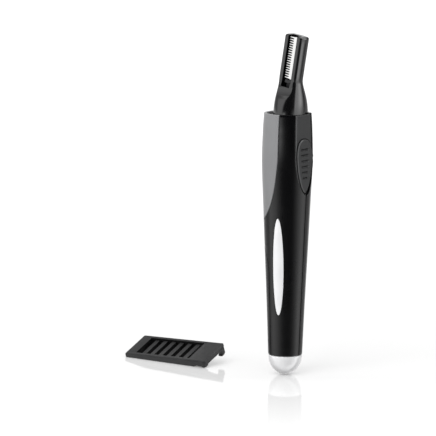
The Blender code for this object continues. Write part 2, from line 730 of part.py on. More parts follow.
def make_carrier(looks, head_frame):
    plastic = looks["grey_plastic"]
    body = box(
        "blade_carrier",
        (CARRIER_FACE_X + RUNNING_GAP / 2, CARRIER_LOW_U, CARRIER_BOTTOM),
        (CARRIER_BACK_X, CARRIER_HIGH_U, CARRIER_TOP),
        plastic,
        head_frame,
    )
    tongue = box(
        "carrier_tongue",
        (CARRIER_FACE_X + RUNNING_GAP / 2, BLADE_EDGE_U + EDGE, CARRIER_BOTTOM + EDGE),
        (CARRIER_FACE_X + ROD_THICKNESS, BLADE_EDGE_U + SPINE_WIDTH, BLADE_BOTTOM + TONGUE_LENGTH),
        frame=head_frame,
    )
    rod = box(
        "carrier_rod",
        (CARRIER_BACK_X - ROD_THICKNESS, -ROD_HALF_WIDTH, ROD_BOTTOM),
        (CARRIER_BACK_X, ROD_HALF_WIDTH, CARRIER_BOTTOM + EDGE),
        frame=head_frame,
    )
    foot = Vector((0, NECK_Y, NECK_Z)) + Matrix.Rotation(HEAD_LEAN, 3, "X") @ Vector((0, 0, ROD_BOTTOM))
    arm_back = MOTOR_Y - CAM_RADIUS - ARM_GAP
    arm_front = arm_back - ARM_THICKNESS
    bar_top = foot.z + CROSSBAR_THICKNESS / 2
    middle_x = CARRIER_BACK_X - ROD_THICKNESS / 2
    crossbar = box(
        "carrier_crossbar",
        (middle_x - ARM_HALF_WIDTH, arm_front, bar_top - CROSSBAR_THICKNESS),
        (middle_x + ARM_HALF_WIDTH, foot.y + ROD_HALF_WIDTH, bar_top),
    )
    arm = box(
        "carrier_arm",
        (middle_x - ARM_HALF_WIDTH, arm_front, CAM_MIDDLE - ARM_HALF_WIDTH),
        (middle_x + ARM_HALF_WIDTH, arm_back, bar_top),
    )
    peg_end = MOTOR_Y - CAM_RADIUS + CAM_GROOVE_DEPTH - PEG_CLEARANCE
    turns = [2 * pi * index / SMALL_SEGMENTS for index in range(SMALL_SEGMENTS)]
    ring = [(middle_x / 2 + PEG_RADIUS * cos(turn), CAM_MIDDLE + PEG_RADIUS * sin(turn)) for turn in turns]
    peg = prism("carrier_peg", ring, "Y", arm_front + EDGE, peg_end)
    fuse(body, tongue, rod, crossbar, arm, peg)


def make_cam(looks, motor_frame):
    """The groove takes the peg, its full stroke and a clearance, because the drum and the peg move apart."""
    groove = PEG_RADIUS + 2 * STROKE + PEG_CLEARANCE
    look = looks["white_plastic"]
    cam = disc("drive_cam", CAM_RADIUS, CAM_BOTTOM, CAM_TOP, look, motor_frame, segments=CAM_SEGMENTS)
    floor = CAM_RADIUS - CAM_GROOVE_DEPTH
    rim = CAM_RADIUS + OVERRUN
    profile = [(floor, -groove), (rim, -groove), (rim, groove), (floor, groove)]
    cutter = turned("cam_groove_cutter", profile, CAM_SEGMENTS, None, motor_frame, (0, 0, CAM_MIDDLE))
    cutter.rotation_euler = (0, CAM_SLANT, 0)
    low, high = CAM_BOTTOM - OVERRUN, CAM_TOP + OVERRUN
    bore = SHAFT_RADIUS + RUNNING_GAP
    hole = disc("cam_bore_cutter", bore, low, high, frame=motor_frame, segments=SMALL_SEGMENTS)
    cut(cam, cutter, hole)
    low, high = MOTOR_TOP + RUNNING_GAP, MOTOR_TOP + SHAFT_LENGTH
    disc("motor_shaft", SHAFT_RADIUS, low, high, looks["steel"], motor_frame, segments=SMALL_SEGMENTS)


def motor_outline(margin):
    """A round can with two flats, as (x, y) about the motor's axis."""
    radius = MOTOR_RADIUS + margin
    corner = asin((MOTOR_FLAT + margin) / radius)
    side = [-corner + 2 * corner * index / MOTOR_STEPS for index in range(MOTOR_STEPS + 1)]
    right = [(radius * cos(angle), MOTOR_Y + radius * sin(angle)) for angle in side]
    return right + [(-x, y) for x, y in reversed(right)]


def make_motor(looks):
    can_bottom = MOTOR_BOTTOM + END_BELL_HEIGHT
    can_top = MOTOR_TOP - MOTOR_BOSS_HEIGHT
    can = prism("motor_can", motor_outline(0), "Z", can_bottom + RUNNING_GAP, can_top, looks["steel"])
    boss = disc("motor_boss", MOTOR_BOSS_RADIUS, can_top - END_BELL_HEIGHT, MOTOR_TOP, place=(0, MOTOR_Y, 0))
    fuse(can, boss)
    look = looks["black_satin"]
    bell = prism("motor_end_bell", motor_outline(-EDGE), "Z", MOTOR_BOTTOM, can_bottom, look)
    bevelled(bell, EDGE)
    half = TERMINAL_WIDTH / 2
    front = MOTOR_Y - TERMINAL_THICKNESS / 2
    back = MOTOR_Y + TERMINAL_THICKNESS / 2
    low = MOTOR_BOTTOM - SEAM - TERMINAL_HEIGHT
    high = MOTOR_BOTTOM - RUNNING_GAP
    for side, name in ((-1, "motor_terminal_left"), (1, "motor_terminal_right")):
        middle = side * TERMINAL_X
        box(name, (middle - half, front, low), (middle + half, back, high), looks["brass"])


def make_motor_cradle(looks):
    high = CRADLE_BOTTOM + CRADLE_HEIGHT
    radius = min(barrel_radius(CRADLE_BOTTOM), barrel_radius(high)) - WALL - SEAM
    look = looks["grey_rubber"]
    cradle = disc("motor_cradle", radius, CRADLE_BOTTOM, high, look, segments=ROUND_SEGMENTS)
    low, high = CRADLE_BOTTOM - OVERRUN, high + OVERRUN
    hole = prism("cradle_hole_cutter", motor_outline(SEAM), "Z", low, high)
    side = BARREL_RADIUS + OVERRUN
    front = box("cradle_front_cutter", (-side, -side, low), (side, CRADLE_FRONT_Y, high))
    cut(cradle, hole, front)


def make_chassis(looks):
    """The tray that cups the front of the cell, the bulkhead above it and two posts beside the motor."""
    bulkhead_radius = barrel_radius(BULKHEAD_BOTTOM) - WALL - SEAM
    look = looks["black_satin"]
    chassis = disc("chassis", bulkhead_radius, BULKHEAD_BOTTOM, BULKHEAD_TOP, look, segments=ROUND_SEGMENTS)
    inner = CELL_RADIUS + SEAM
    outer = inner + TRAY_THICKNESS
    tray_top = BULKHEAD_BOTTOM + EDGE
    tray = turned(
        "chassis_tray",
        [(inner, TRAY_BOTTOM), (outer, TRAY_BOTTOM), (outer, tray_top), (inner, tray_top)],
        BARREL_SEGMENTS,
    )
    side = BARREL_RADIUS + OVERRUN
    low, high = TRAY_BOTTOM - OVERRUN, tray_top + OVERRUN
    cut(tray, box("tray_back_cutter", (-side, TRAY_FRONT_REACH, low), (side, side, high)))
    posts = []
    front = BOARD_BACK_Y + SEAM
    for sign in (-1, 1):
        near = sign * (MOTOR_RADIUS + SEAM)
        far = sign * (MOTOR_RADIUS + SEAM + POST_WIDTH)
        posts.append(
            box(
                f"chassis_post_{sign + 1}",
                (min(near, far), front, BULKHEAD_TOP - EDGE),
                (max(near, far), front + POST_DEPTH, POST_TOP),
            )
        )
    fuse(chassis, tray, *posts)
    slot_half = STRIP_WIDTH / 2 + STRIP_SLOT_MARGIN
    slot = box(
        "strip_slot_cutter",
        (-slot_half, -(outer + OVERRUN), TRAY_BOTTOM - OVERRUN),
        (slot_half, -CELL_RADIUS, BULKHEAD_TOP + OVERRUN),
    )
    cut(chassis, slot)


def make_battery(looks):
    nub_top = CELL_BOTTOM + CELL_NUB_HEIGHT
    profile = [
        (0, CELL_BOTTOM),
        (CELL_NUB_RADIUS, CELL_BOTTOM),
        (CELL_NUB_RADIUS, nub_top),
        (CELL_RADIUS - EDGE, nub_top),
        (CELL_RADIUS, nub_top + EDGE),
        (CELL_RADIUS, CELL_TOP - EDGE),
        (CELL_RADIUS - EDGE, CELL_TOP),
        (0, CELL_TOP),
    ]
    turned("aaa_cell", profile, ROUND_SEGMENTS, looks["cell_jacket"])
    contact_top = CONTACT_BOTTOM + CONTACT_THICKNESS
    disc("positive_contact", CONTACT_RADIUS, CONTACT_BOTTOM, contact_top, looks["brass"])
    disc(
        "negative_contact",
        SPRING_TOP_RADIUS + SPRING_WIRE_RADIUS,
        SPRING_PLATE_BOTTOM,
        SPRING_PLATE_BOTTOM + CONTACT_THICKNESS,
        looks["brass"],
    )
    half = STRIP_WIDTH / 2
    inner = -(CELL_RADIUS + STRIP_GAP)
    outer = inner - STRIP_THICKNESS
    top = BOARD_BOTTOM + EDGE + CONTACT_THICKNESS
    strip = box("contact_strip", (-half, outer, CONTACT_BOTTOM), (half, inner, top), looks["brass"])
    tab_back = BOARD_FRONT_Y - RUNNING_GAP
    tab = box("contact_strip_tab", (-half, outer, top - CONTACT_THICKNESS), (half, tab_back, top))
    foot_back = -(CONTACT_RADIUS + RUNNING_GAP)
    foot = box("contact_strip_foot", (-half, outer, CONTACT_BOTTOM), (half, foot_back, contact_top))
    fuse(strip, tab, foot)


def curve_tube(name, points, radius, resolution, look):
    curve = bpy.data.curves.new(name, "CURVE")
    curve.dimensions = "3D"
    curve.bevel_depth = radius
    curve.bevel_resolution = resolution
    curve.use_fill_caps = True
    spline = curve.splines.new("POLY")
    spline.points.add(len(points) - 1)
    for point, place in zip(spline.points, points):
        point.co = (*place, 1.0)
    curve.materials.append(look)
    made = bpy.data.objects.new(name, curve)
    bpy.context.scene.collection.objects.link(made)
    return made


def make_battery_spring(looks):
    """A conical spring that widens from the cell up to its plate, with its wire laid flat at each end."""
    count = SPRING_TURNS * SPRING_POINTS_PER_TURN
    low = SPRING_BOTTOM + SPRING_WIRE_RADIUS
    rise = SPRING_HEIGHT - 2 * SPRING_WIRE_RADIUS
    points = []
    for index in range(count + 1):
        share = index / count
        angle = 2 * pi * SPRING_TURNS * share
        radius = SPRING_LOW_RADIUS + (SPRING_TOP_RADIUS - SPRING_LOW_RADIUS) * share
        points.append((radius * cos(angle), radius * sin(angle), low + rise * share))
    curve_tube("battery_spring", points, SPRING_WIRE_RADIUS, 1, looks["spring_steel"])
    turn_rise = rise / SPRING_TURNS
    turn_growth = (SPRING_TOP_RADIUS - SPRING_LOW_RADIUS) / SPRING_TURNS
    least_gap = hypot(turn_rise, turn_growth) - 2 * SPRING_WIRE_RADIUS
    print("battery_spring least gap to itself", least_gap)


def make_board_and_switch(looks, track_frame):
    box(
        "circuit_board",
        (-BOARD_HALF_WIDTH, BOARD_FRONT_Y, BOARD_BOTTOM),
        (BOARD_HALF_WIDTH, BOARD_BACK_Y, MOTOR_BOTTOM - BOARD_MARGIN),
        looks["board_green"],
    )
    half = SWITCH_WIDTH / 2
    low, high = SWITCH_LOW, SWITCH_LOW + SWITCH_HEIGHT
    back = SWITCH_FACE + SWITCH_DEPTH
    look = looks["black_satin"]
    body = box("switch_body", (-half, SWITCH_FACE, low), (half, back, high), look, track_frame)
    slot_half = LEVER_WIDTH / 2 + SEAM
    pocket = box(
        "switch_pocket_cutter",
        (-slot_half, SWITCH_FACE - OVERRUN, LEVER_LOW - SEAM),
        (slot_half, SWITCH_FACE + SWITCH_POCKET_DEPTH, LEVER_LOW + LEVER_HEIGHT + THUMB_TRAVEL + SEAM),
        frame=track_frame,
    )
    cut(body, pocket)
    box(
        "switch_lever",
        (-LEVER_WIDTH / 2, TRACK_THICKNESS + STEM_REACH + RUNNING_GAP, LEVER_LOW),
        (LEVER_WIDTH / 2, SWITCH_FACE + SWITCH_POCKET_DEPTH - SEAM, LEVER_LOW + LEVER_HEIGHT),
        looks["white_plastic"],
        track_frame,
    )


def make_leads(looks):
    terminal = MOTOR_BOTTOM - SEAM - TERMINAL_HEIGHT / 2
    start_z = BOARD_BOTTOM + (MOTOR_BOTTOM - BOARD_BOTTOM) * LEAD_START_SHARE
    start_y = BOARD_BACK_Y + LEAD_RADIUS + RUNNING_GAP
    end_y = MOTOR_Y + TERMINAL_THICKNESS / 2 + LEAD_RADIUS + RUNNING_GAP
    for side, name, look in ((-1, "lead_negative", "lead_black"), (1, "lead_positive", "lead_red")):
        x = side * TERMINAL_X
        rise = (start_y, start_z + TERMINAL_X)
        bend = (end_y + TERMINAL_X, terminal - TERMINAL_X)
        path = bezier((start_y, start_z), rise, bend, (end_y, terminal), CURVE_STEPS)
        curve_tube(name, [(x, y, z) for y, z in path], LEAD_RADIUS, 2, looks[look])


def make_end_cap(looks):
    radius = barrel_radius(BARREL_BOTTOM)
    spigot = radius - WALL - SEAM
    dome = [
        (radius * sin(pi / 2 * index / CAP_RINGS), CAP_HEIGHT * (1 - cos(pi / 2 * index / CAP_RINGS)))
        for index in range(CAP_RINGS + 1)
    ]
    profile = dome + [(spigot, CAP_HEIGHT), (spigot, SPIGOT_TOP), (0, SPIGOT_TOP)]
    turned("end_cap", profile, BARREL_SEGMENTS, looks["pearl_silver"])


def inlay_frame(side):
    """A frame whose -Y axis points out through the middle of an oval inlay."""
    name = "inlay_frame_left" if side < 0 else "inlay_frame_right"
    return add_frame(name, (0, 0, 0), (0, 0, side * INLAY_ANGLE))


def inlay_layer(name, depth, crown, look=None):
    """A thin sleeve that follows the barrel, from which an inlay or its pocket is cut."""
    low = INLAY_MIDDLE_Z - INLAY_HALF_HEIGHT - OVERRUN / 2
    high = INLAY_MIDDLE_Z + INLAY_HALF_HEIGHT + OVERRUN / 2
    outer = barrel_profile(crown, low, high, INLAY_RINGS)
    inner = barrel_profile(-depth, low, high, INLAY_RINGS)
    return turned(name, outer + inner[::-1], BARREL_SEGMENTS, look)


def make_inlays(looks, frames):
    for side, name in ((-1, "inlay_left"), (1, "inlay_right")):
        outline = oval_outline(0)
        oval = prism(f"{name}_oval", outline, "Y", -(BARREL_RADIUS + OVERRUN), 0, frame=frames[side])
        keep(inlay_layer(name, INLAY_DEPTH, INLAY_CROWN, looks["pearl_silver"]), oval)


def make_barrel(looks, track_frame, frames):
    """Two front shells, a rear grip and a battery door, all parted from one turned form."""
    hollow = barrel_hollow("barrel_hollow_cutter")
    far = BARREL_RADIUS + OVERRUN
    top = BARREL_TOP - FACET_Z + OVERRUN
    flare = RECESS_HALF_WIDTH + RECESS_FLARE
    recess = open_teardrop_outline(RECESS_HALF_WIDTH, flare, RECESS_TIP_DROP, top)
    facet = prism("facet_cutter", recess, "Y", -OVERRUN, 0, frame=track_frame)
    plate = track_outline(RUNNING_GAP, top)
    deep = TRACK_THICKNESS + OVERRUN
    window = prism("track_window_cutter", plate, "Y", -OVERRUN, deep, frame=track_frame)
    grip_region = prism("grip_region", grip_outline(0), "X", -far, far)
    door_region = prism("door_region", door_outline(0), "X", -far, far)
    low, high = BARREL_BOTTOM - OVERRUN, BARREL_TOP + OVERRUN
    for side, name, word in ((-1, "left_shell", "left"), (1, "right_shell", "right")):
        shell = barrel_solid(name, looks["black_gloss"])
        inner, outer = side * SEAM / 2, side * far
        half = box(f"{word}_half", (min(inner, outer), -far, low), (max(inner, outer), far, high))
        keep(shell, half)
        sleeve = inlay_layer(f"{word}_inlay_pocket", INLAY_DEPTH + RUNNING_GAP, OVERRUN)
        oval = oval_outline(RUNNING_GAP)
        pocket_oval = prism(f"{word}_pocket_oval", oval, "Y", -far, 0, frame=frames[side])
        keep(sleeve, pocket_oval)
        cut(shell, hollow, grip_region, door_region, facet, window, sleeve)
    grip = barrel_solid("rear_grip", looks["grey_rubber"])
    keep(grip, prism("grip_form", grip_outline(SEAM), "X", -far, far))
    cut(grip, hollow)
    door = barrel_solid("battery_door", looks["black_gloss"])
    keep(door, prism("door_form", door_outline(SEAM), "X", -far, far))
    cut(door, hollow)


def track_outline(margin, top):
    grown = margin - TRACK_INSET
    top_half = TRACK_TOP_HALF_WIDTH + margin
    return open_teardrop_outline(RECESS_HALF_WIDTH + grown, top_half, RECESS_TIP_DROP + grown, top)


def make_track(looks, track_frame):
    top = BARREL_TOP - FACET_Z - EDGE
    look = looks["satin_graphite"]
    outline = track_outline(-RUNNING_GAP, top)
    plate = prism("switch_track", outline, "Y", 0, TRACK_THICKNESS, look, track_frame)
    half = STEM_WIDTH / 2 + SEAM
    slot = box(
        "stem_slot_cutter",
        (-half, -OVERRUN, STEM_TOP - STEM_HEIGHT - SEAM),
        (half, TRACK_THICKNESS + OVERRUN, STEM_TOP + THUMB_TRAVEL + SEAM),
        frame=track_frame,
    )
    cut(plate, slot)


def make_thumb_slide(looks, track_frame):
    half_width = RECESS_HALF_WIDTH - THUMB_MARGIN
    outline = teardrop_outline(half_width, THUMB_APEX_RISE, RECESS_TIP_DROP - THUMB_MARGIN)
    back = THUMB_FACE
    face = THUMB_FACE - THUMB_THICKNESS
    slide = prism("thumb_slide", outline, "Y", face, back, looks["satin_graphite"], track_frame)
    bevelled(slide, THUMB_CROWN, 2)
    grooves = []
    first = TEARDROP_Z - FACET_Z + GROOVE_FIRST_RISE
    for index in range(GROOVE_COUNT):
        middle = first - GROOVE_PITCH * index
        half = GROOVE_HALF_WIDTH * (1 - GROOVE_TAPER_SHARE * (index / GROOVE_COUNT) ** 2)
        grooves.append(
            box(
                f"thumb_groove_{index + 1}",
                (-half, face - OVERRUN, middle - GROOVE_WIDTH / 2),
                (half, face + GROOVE_DEPTH, middle + GROOVE_WIDTH / 2),
                frame=track_frame,
            )
        )
    cut(slide, *grooves)
    stem = box(
        "thumb_stem",
        (-STEM_WIDTH / 2, back - STEM_ROOT, STEM_TOP - STEM_HEIGHT),
        (STEM_WIDTH / 2, TRACK_THICKNESS + STEM_REACH, STEM_TOP),
        frame=track_frame,
    )
    fuse(slide, stem)


def comb_plate_outline():
    """The comb's plate from above, as (along, across), with its blank end's corners rounded."""
    steps = COMB_CORNER_STEPS
    points = []
    for middle_y, start in ((COMB_CORNER, pi), (COMB_WIDTH - COMB_CORNER, pi / 2)):
        turn = [start + pi / 2 * index / steps for index in range(steps + 1)]
        arc = [(COMB_CORNER * (1 + cos(angle)), middle_y + COMB_CORNER * sin(angle)) for angle in turn]
        points.append(arc)
    blank = points[1] + points[0]
    return blank + [(COMB_LENGTH, 0), (COMB_LENGTH, COMB_WIDTH)]


def make_comb(looks, comb_frame):
    """The frame's X runs along the comb toward its lugs, Y across to the far side and Z out of its top."""
    skirt = COMB_SKIRT + COMB_WIDTH * tan(COMB_TILT)
    comb = prism("guide_comb", comb_plate_outline(), "Z", -skirt, 0, looks["matte_black"], comb_frame)
    hollow = box(
        "comb_channel_cutter",
        (COMB_RAIL, COMB_RAIL, -skirt - OVERRUN),
        (COMB_LENGTH + OVERRUN, COMB_WIDTH - COMB_RAIL, -COMB_PLATE),
        frame=comb_frame,
    )
    window_far = COMB_WIDTH - COMB_WINDOW_FAR
    window = box(
        "comb_window_cutter",
        (COMB_WINDOW_START, COMB_WINDOW_NEAR, -COMB_PLATE - OVERRUN),
        (COMB_WINDOW_START + COMB_WINDOW_LENGTH, window_far, OVERRUN),
        frame=comb_frame,
    )
    cut(comb, hollow, window)
    bars = []
    for index in range(COMB_BARS):
        middle = COMB_WINDOW_START + COMB_BAR_START + COMB_BAR_PITCH * index
        bars.append(
            box(
                f"comb_bar_{index + 1}",
                (middle - COMB_BAR_WIDTH / 2, COMB_RAIL / 2, -COMB_BAR_DROP - COMB_BAR_DEPTH),
                (middle + COMB_BAR_WIDTH / 2, COMB_WIDTH - COMB_RAIL / 2, -COMB_BAR_DROP),
                frame=comb_frame,
            )
        )
    for bar in bars:
        fuse(comb, bar)
    # The cheeks are cut free of the lugs, so that the lugs can spring over the head.
    middle = COMB_WIDTH / 2
    lug_start = COMB_LENGTH - COMB_LUG_LENGTH
    near_notch = box(
        "comb_near_notch_cutter",
        (COMB_NEAR_REACH, -OVERRUN, -skirt - OVERRUN),
        (lug_start, middle, -COMB_NOTCH_DROP),
        frame=comb_frame,
    )
    far_notch = box(
        "comb_far_notch_cutter",
        (COMB_FAR_REACH, middle, -skirt - OVERRUN),
        (lug_start, COMB_WIDTH + OVERRUN, -COMB_PLATE),
        frame=comb_frame,
    )
    cut(comb, near_notch, far_notch)
    for name, depth, low, high, near, far in (
        ("near", COMB_NEAR_LUG_DEPTH, -OVERRUN, middle, COMB_RAIL / 2, COMB_RAIL + COMB_LUG_HOOK),
        (
            "far",
            COMB_FAR_LUG_DEPTH,
            middle,
            COMB_WIDTH + OVERRUN,
            COMB_WIDTH - COMB_RAIL - COMB_LUG_HOOK,
            COMB_WIDTH - COMB_RAIL / 2,
        ),
    ):
        floor = box(
            f"comb_{name}_lug_cutter",
            (COMB_NEAR_REACH, low, -skirt - OVERRUN),
            (COMB_LENGTH + OVERRUN, high, -depth),
            frame=comb_frame,
        )
        hook = box(
            f"comb_{name}_hook",
            (lug_start, near, -depth),
            (COMB_LENGTH, far, -depth + COMB_LUG_HOOK),
            frame=comb_frame,
        )
        cut(comb, floor)
        fuse(comb, hook)
    reach = COMB_LENGTH + COMB_WIDTH + OVERRUN
    x, y, _ = COMB_PLACE
    floor = box("comb_floor_cutter", (x - reach, y - reach, -reach), (x + reach, y + reach, 0))
    cut(comb, floor)


def make_looks():
    return {
        "black_gloss": material("black_gloss", (0.012, 0.012, 0.014), 0.22),
        "black_satin": material("black_satin", (0.02, 0.02, 0.022), 0.5),
        "matte_black": material("matte_black", (0.045, 0.045, 0.047), 0.6),
        "satin_graphite": material("satin_graphite", (0.06, 0.062, 0.066), 0.38, 0.4),
        "grey_rubber": material("grey_rubber", (0.25, 0.25, 0.26), 0.55),
        "grey_plastic": material("grey_plastic", (0.2, 0.2, 0.21), 0.5),
        "white_plastic": material("white_plastic", (0.7, 0.7, 0.68), 0.45),
        "pearl_silver": material("pearl_silver", (0.72, 0.73, 0.75), 0.3, 0.75),
        "bright_steel": material("bright_steel", (0.8, 0.8, 0.8), 0.2, 1.0),
        "steel": material("steel", (0.5, 0.5, 0.52), 0.35, 1.0),
        "spring_steel": material("spring_steel", (0.62, 0.62, 0.64), 0.28, 1.0),
        "brass": material("brass", (0.72, 0.55, 0.25), 0.3, 1.0),
        "board_green": material("board_green", (0.03, 0.16, 0.07), 0.5),
        "cell_jacket": material("cell_jacket", (0.1, 0.1, 0.11), 0.4),
        "lead_red": material("lead_red", (0.45, 0.02, 0.02), 0.5),
        "lead_black": material("lead_black", (0.02, 0.02, 0.02), 0.5),
    }


def build():
    for item in list(bpy.data.objects):
        bpy.data.objects.remove(item, do_unlink=True)
    looks = make_looks()
    head_frame = add_frame("head_frame", (0, NECK_Y, NECK_Z), (HEAD_LEAN, 0, 0))
    track_frame = add_frame("track_frame", (0, FACET_Y, FACET_Z), (-FACET_TILT, 0, 0))
    motor_frame = add_frame("motor_frame", (0, MOTOR_Y, 0), (0, 0, 0))
    comb_frame = add_frame("comb_frame", (0, 0, 0), (0, 0, 0))
    heading = Vector((sin(COMB_YAW), -cos(COMB_YAW), 0))
    along = heading * cos(COMB_PITCH) + Vector((0, 0, sin(COMB_PITCH)))
    level = Vector((cos(COMB_YAW), sin(COMB_YAW), 0))
    across = level * cos(COMB_TILT) + along.cross(level) * sin(COMB_TILT)
    up = along.cross(across)
    turn = Matrix((along, across, up)).transposed().to_4x4()
    comb_frame.matrix_world = Matrix.Translation(COMB_PLACE) @ turn
    frames = {side: inlay_frame(side) for side in (-1, 1)}
    make_barrel(looks, track_frame, frames)
    make_inlays(looks, frames)
    make_end_cap(looks)
    make_track(looks, track_frame)
    make_thumb_slide(looks, track_frame)
    make_board_and_switch(looks, track_frame)
    make_battery(looks)
    make_battery_spring(looks)
    make_chassis(looks)
    make_motor(looks)
    make_motor_cradle(looks)
    make_leads(looks)
    make_cam(looks, motor_frame)
    make_collar(looks)
    make_head(looks, head_frame)
    make_blades(looks, head_frame)
    make_blade_spring(looks, head_frame)
    make_carrier(looks, head_frame)
    make_comb(looks, comb_frame)


build()
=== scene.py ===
"""The looks of a slim beard and eyebrow trimmer and its guide comb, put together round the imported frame.

Metres, in the frame's own axes: +Z up the barrel, -Y out through the thumb switch, -X out of the blade's side.
"""

from math import acos, asin, atan2, cos, pi, radians, sin, sqrt, tan

import bmesh
import bpy
from mathutils import Matrix, Vector


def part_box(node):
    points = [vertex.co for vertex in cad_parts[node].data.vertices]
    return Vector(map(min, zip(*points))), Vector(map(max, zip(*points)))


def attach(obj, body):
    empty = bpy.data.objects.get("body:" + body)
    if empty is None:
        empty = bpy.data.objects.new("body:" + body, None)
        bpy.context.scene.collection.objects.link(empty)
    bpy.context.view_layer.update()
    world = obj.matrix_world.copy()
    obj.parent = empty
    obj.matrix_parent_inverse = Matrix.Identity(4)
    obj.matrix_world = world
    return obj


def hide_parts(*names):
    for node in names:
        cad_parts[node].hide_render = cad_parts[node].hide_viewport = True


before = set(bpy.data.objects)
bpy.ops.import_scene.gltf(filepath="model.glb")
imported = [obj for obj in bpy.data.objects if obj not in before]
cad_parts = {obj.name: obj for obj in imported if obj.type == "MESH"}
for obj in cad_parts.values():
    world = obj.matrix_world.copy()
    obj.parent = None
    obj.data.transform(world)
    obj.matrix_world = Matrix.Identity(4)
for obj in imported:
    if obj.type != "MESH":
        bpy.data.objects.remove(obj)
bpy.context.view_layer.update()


# Battery contacts, strip and spring
# The two contacts and the long strip are stamped from brass and flashed with nickel, and the cone spring is wound
# from bright wire. They clip into the chassis and the end cap before the cell goes in.
CONTACT_BRASS = ((0.52, 0.39, 0.17), (0.7, 0.55, 0.28))
SPRING_WIRE = ((0.5, 0.5, 0.52), (0.72, 0.72, 0.74))
ROLLED_LINES = 900.0
# Nearly all of a noise lies between these two values.
NOISE_MIDDLE = (0.3, 0.7)
# The scale and the detail of the noise behind the lines' height, and of the broader one behind their gloss.
LINE_NOISES = (("Height", 1.0, 3.0), ("Gloss", 0.13, 2.0))


def set_values(node, values):
    """Sets a node's inputs by name, and gives the node back."""
    for name, value in values.items():
        node.inputs[name].default_value = value
    return node


def detail_group(name, inputs, outputs):
    """A new group of nodes, with the node that gives its inputs and the one that takes its outputs."""
    group = bpy.data.node_groups.new(name, "ShaderNodeTree")
    for in_out, names in (("INPUT", inputs), ("OUTPUT", outputs)):
        for socket in names:
            group.interface.new_socket(socket, in_out=in_out, socket_type="NodeSocketFloat")
    return group, group.nodes.new("NodeGroupInput"), group.nodes.new("NodeGroupOutput")


def lines_group():
    """Rolled or ground lines: a height and a gloss that change quickly across the metal and slowly along it."""
    group, given, out = detail_group("metal_lines", ("Across", "Along"), ("Height", "Gloss"))
    nodes, links = group.nodes, group.links
    place = nodes.new("ShaderNodeTexCoord")
    stretch = nodes.new("ShaderNodeCombineXYZ")
    for name, axis in (("Across", "X"), ("Across", "Y"), ("Along", "Z")):
        links.new(given.outputs[name], stretch.inputs[axis])
    scaled = nodes.new("ShaderNodeVectorMath")
    scaled.operation = "MULTIPLY"
    links.new(place.outputs["Object"], scaled.inputs[0])
    links.new(stretch.outputs["Vector"], scaled.inputs[1])
    for name, scale, detail in LINE_NOISES:
        noise = set_values(nodes.new("ShaderNodeTexNoise"), {"Scale": scale, "Detail": detail})
        links.new(scaled.outputs["Vector"], noise.inputs["Vector"])
        links.new(noise.outputs["Fac"], out.inputs[name])
    return group


METAL_LINES = lines_group()


def ranged(tree, source, from_low, from_high, to_low, to_high):
    """A value's range made into another one, and held at its ends."""
    limits = {"From Min": from_low, "From Max": from_high, "To Min": to_low, "To Max": to_high}
    node = set_values(tree.nodes.new("ShaderNodeMapRange"), limits)
    tree.links.new(source, node.inputs["Value"])
    return node.outputs["Result"]


def ramp(look, source, *colours):
    """Two close colours mixed over the middle of a noise."""
    node = look.node_tree.nodes.new("ShaderNodeValToRGB")
    for stop, position, colour in zip(node.color_ramp.elements, NOISE_MIDDLE, colours):
        stop.position = position
        stop.color = (*colour, 1.0)
    look.node_tree.links.new(source, node.inputs["Fac"])
    return node.outputs["Color"]


def bump(look, source, depth, strength=1.0, under=None):
    node = set_values(look.node_tree.nodes.new("ShaderNodeBump"), {"Distance": depth, "Strength": strength})
    look.node_tree.links.new(source, node.inputs["Height"])
    if under is not None:
        look.node_tree.links.new(under, node.inputs["Normal"])
    return node.outputs["Normal"]


def new_look(name, group, **inputs):
    """A material, its shader, and the outputs of the group that gives its detail."""
    look = bpy.data.materials.new(name)
    look.use_nodes = True
    detail = look.node_tree.nodes.new("ShaderNodeGroup")
    detail.node_tree = group
    return look, look.node_tree.nodes["Principled BSDF"], set_values(detail, inputs).outputs


def surfaced(look, shader, colour, detail, roughness, depth):
    """Gives a look its colour, its range of gloss and its fine height."""
    links = look.node_tree.links
    gloss = ranged(look.node_tree, detail["Gloss"], *NOISE_MIDDLE, *roughness)
    links.new(colour, shader.inputs["Base Color"])
    links.new(gloss, shader.inputs["Roughness"])
    links.new(bump(look, detail["Height"], depth), shader.inputs["Normal"])
    return look


def metal(name, colours, roughness, across=6000.0, along=ROLLED_LINES, depth=0.000004):
    look, shader, detail = new_look(name, METAL_LINES, Across=across, Along=along)
    shader.inputs["Metallic"].default_value = 1.0
    return surfaced(look, shader, ramp(look, detail["Gloss"], *colours), detail, roughness, depth)


def dress(look, *names):
    for name in names:
        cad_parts[name].material_slots[0].material = look


brass = metal("nickel_flashed_brass", CONTACT_BRASS, (0.22, 0.36))
wire = metal("bright_spring_wire", SPRING_WIRE, (0.2, 0.32))
dress(brass, "positive_contact", "negative_contact", "contact_strip", "motor_terminal_left", "motor_terminal_right")
dress(wire, "battery_spring", "blade_spring")


# Battery
# A steel AAA can in a shrunk printed sleeve. Its plain dark sleeve ends in a pale band at the positive end, and the
# bare steel shows at both ends. It drops in from the back, once the door is off.
SLEEVE_DARK = ((0.02, 0.022, 0.026), (0.03, 0.032, 0.038))
SLEEVE_BAND = (0.55, 0.42, 0.2)
BARE_STEEL = (0.6, 0.6, 0.62)
CELL_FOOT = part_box("aaa_cell")[0].z
CELL_BAND = 0.011
CELL_LIP = 0.0011
# Dust lies in patches of specks: the speck spacing and radii, and where the patches of the noise begin and are full.
SPECK_SCALE = 420.0
SPECK_RADII = (0.05, 0.11)
DUST_PATCHES = (0.58, 0.7)
# What each noise of a skin gives, the input that scales it, a factor on that scale, and its detail.
SKIN_NOISES = (("Height", "Grain", 1.0, 2.0), ("Tone", "Drift", 1.0, 3.0), ("Gloss", "Drift", 3.7, 4.0))
PATCH_NOISE = ("Drift", 1.9, 2.0)


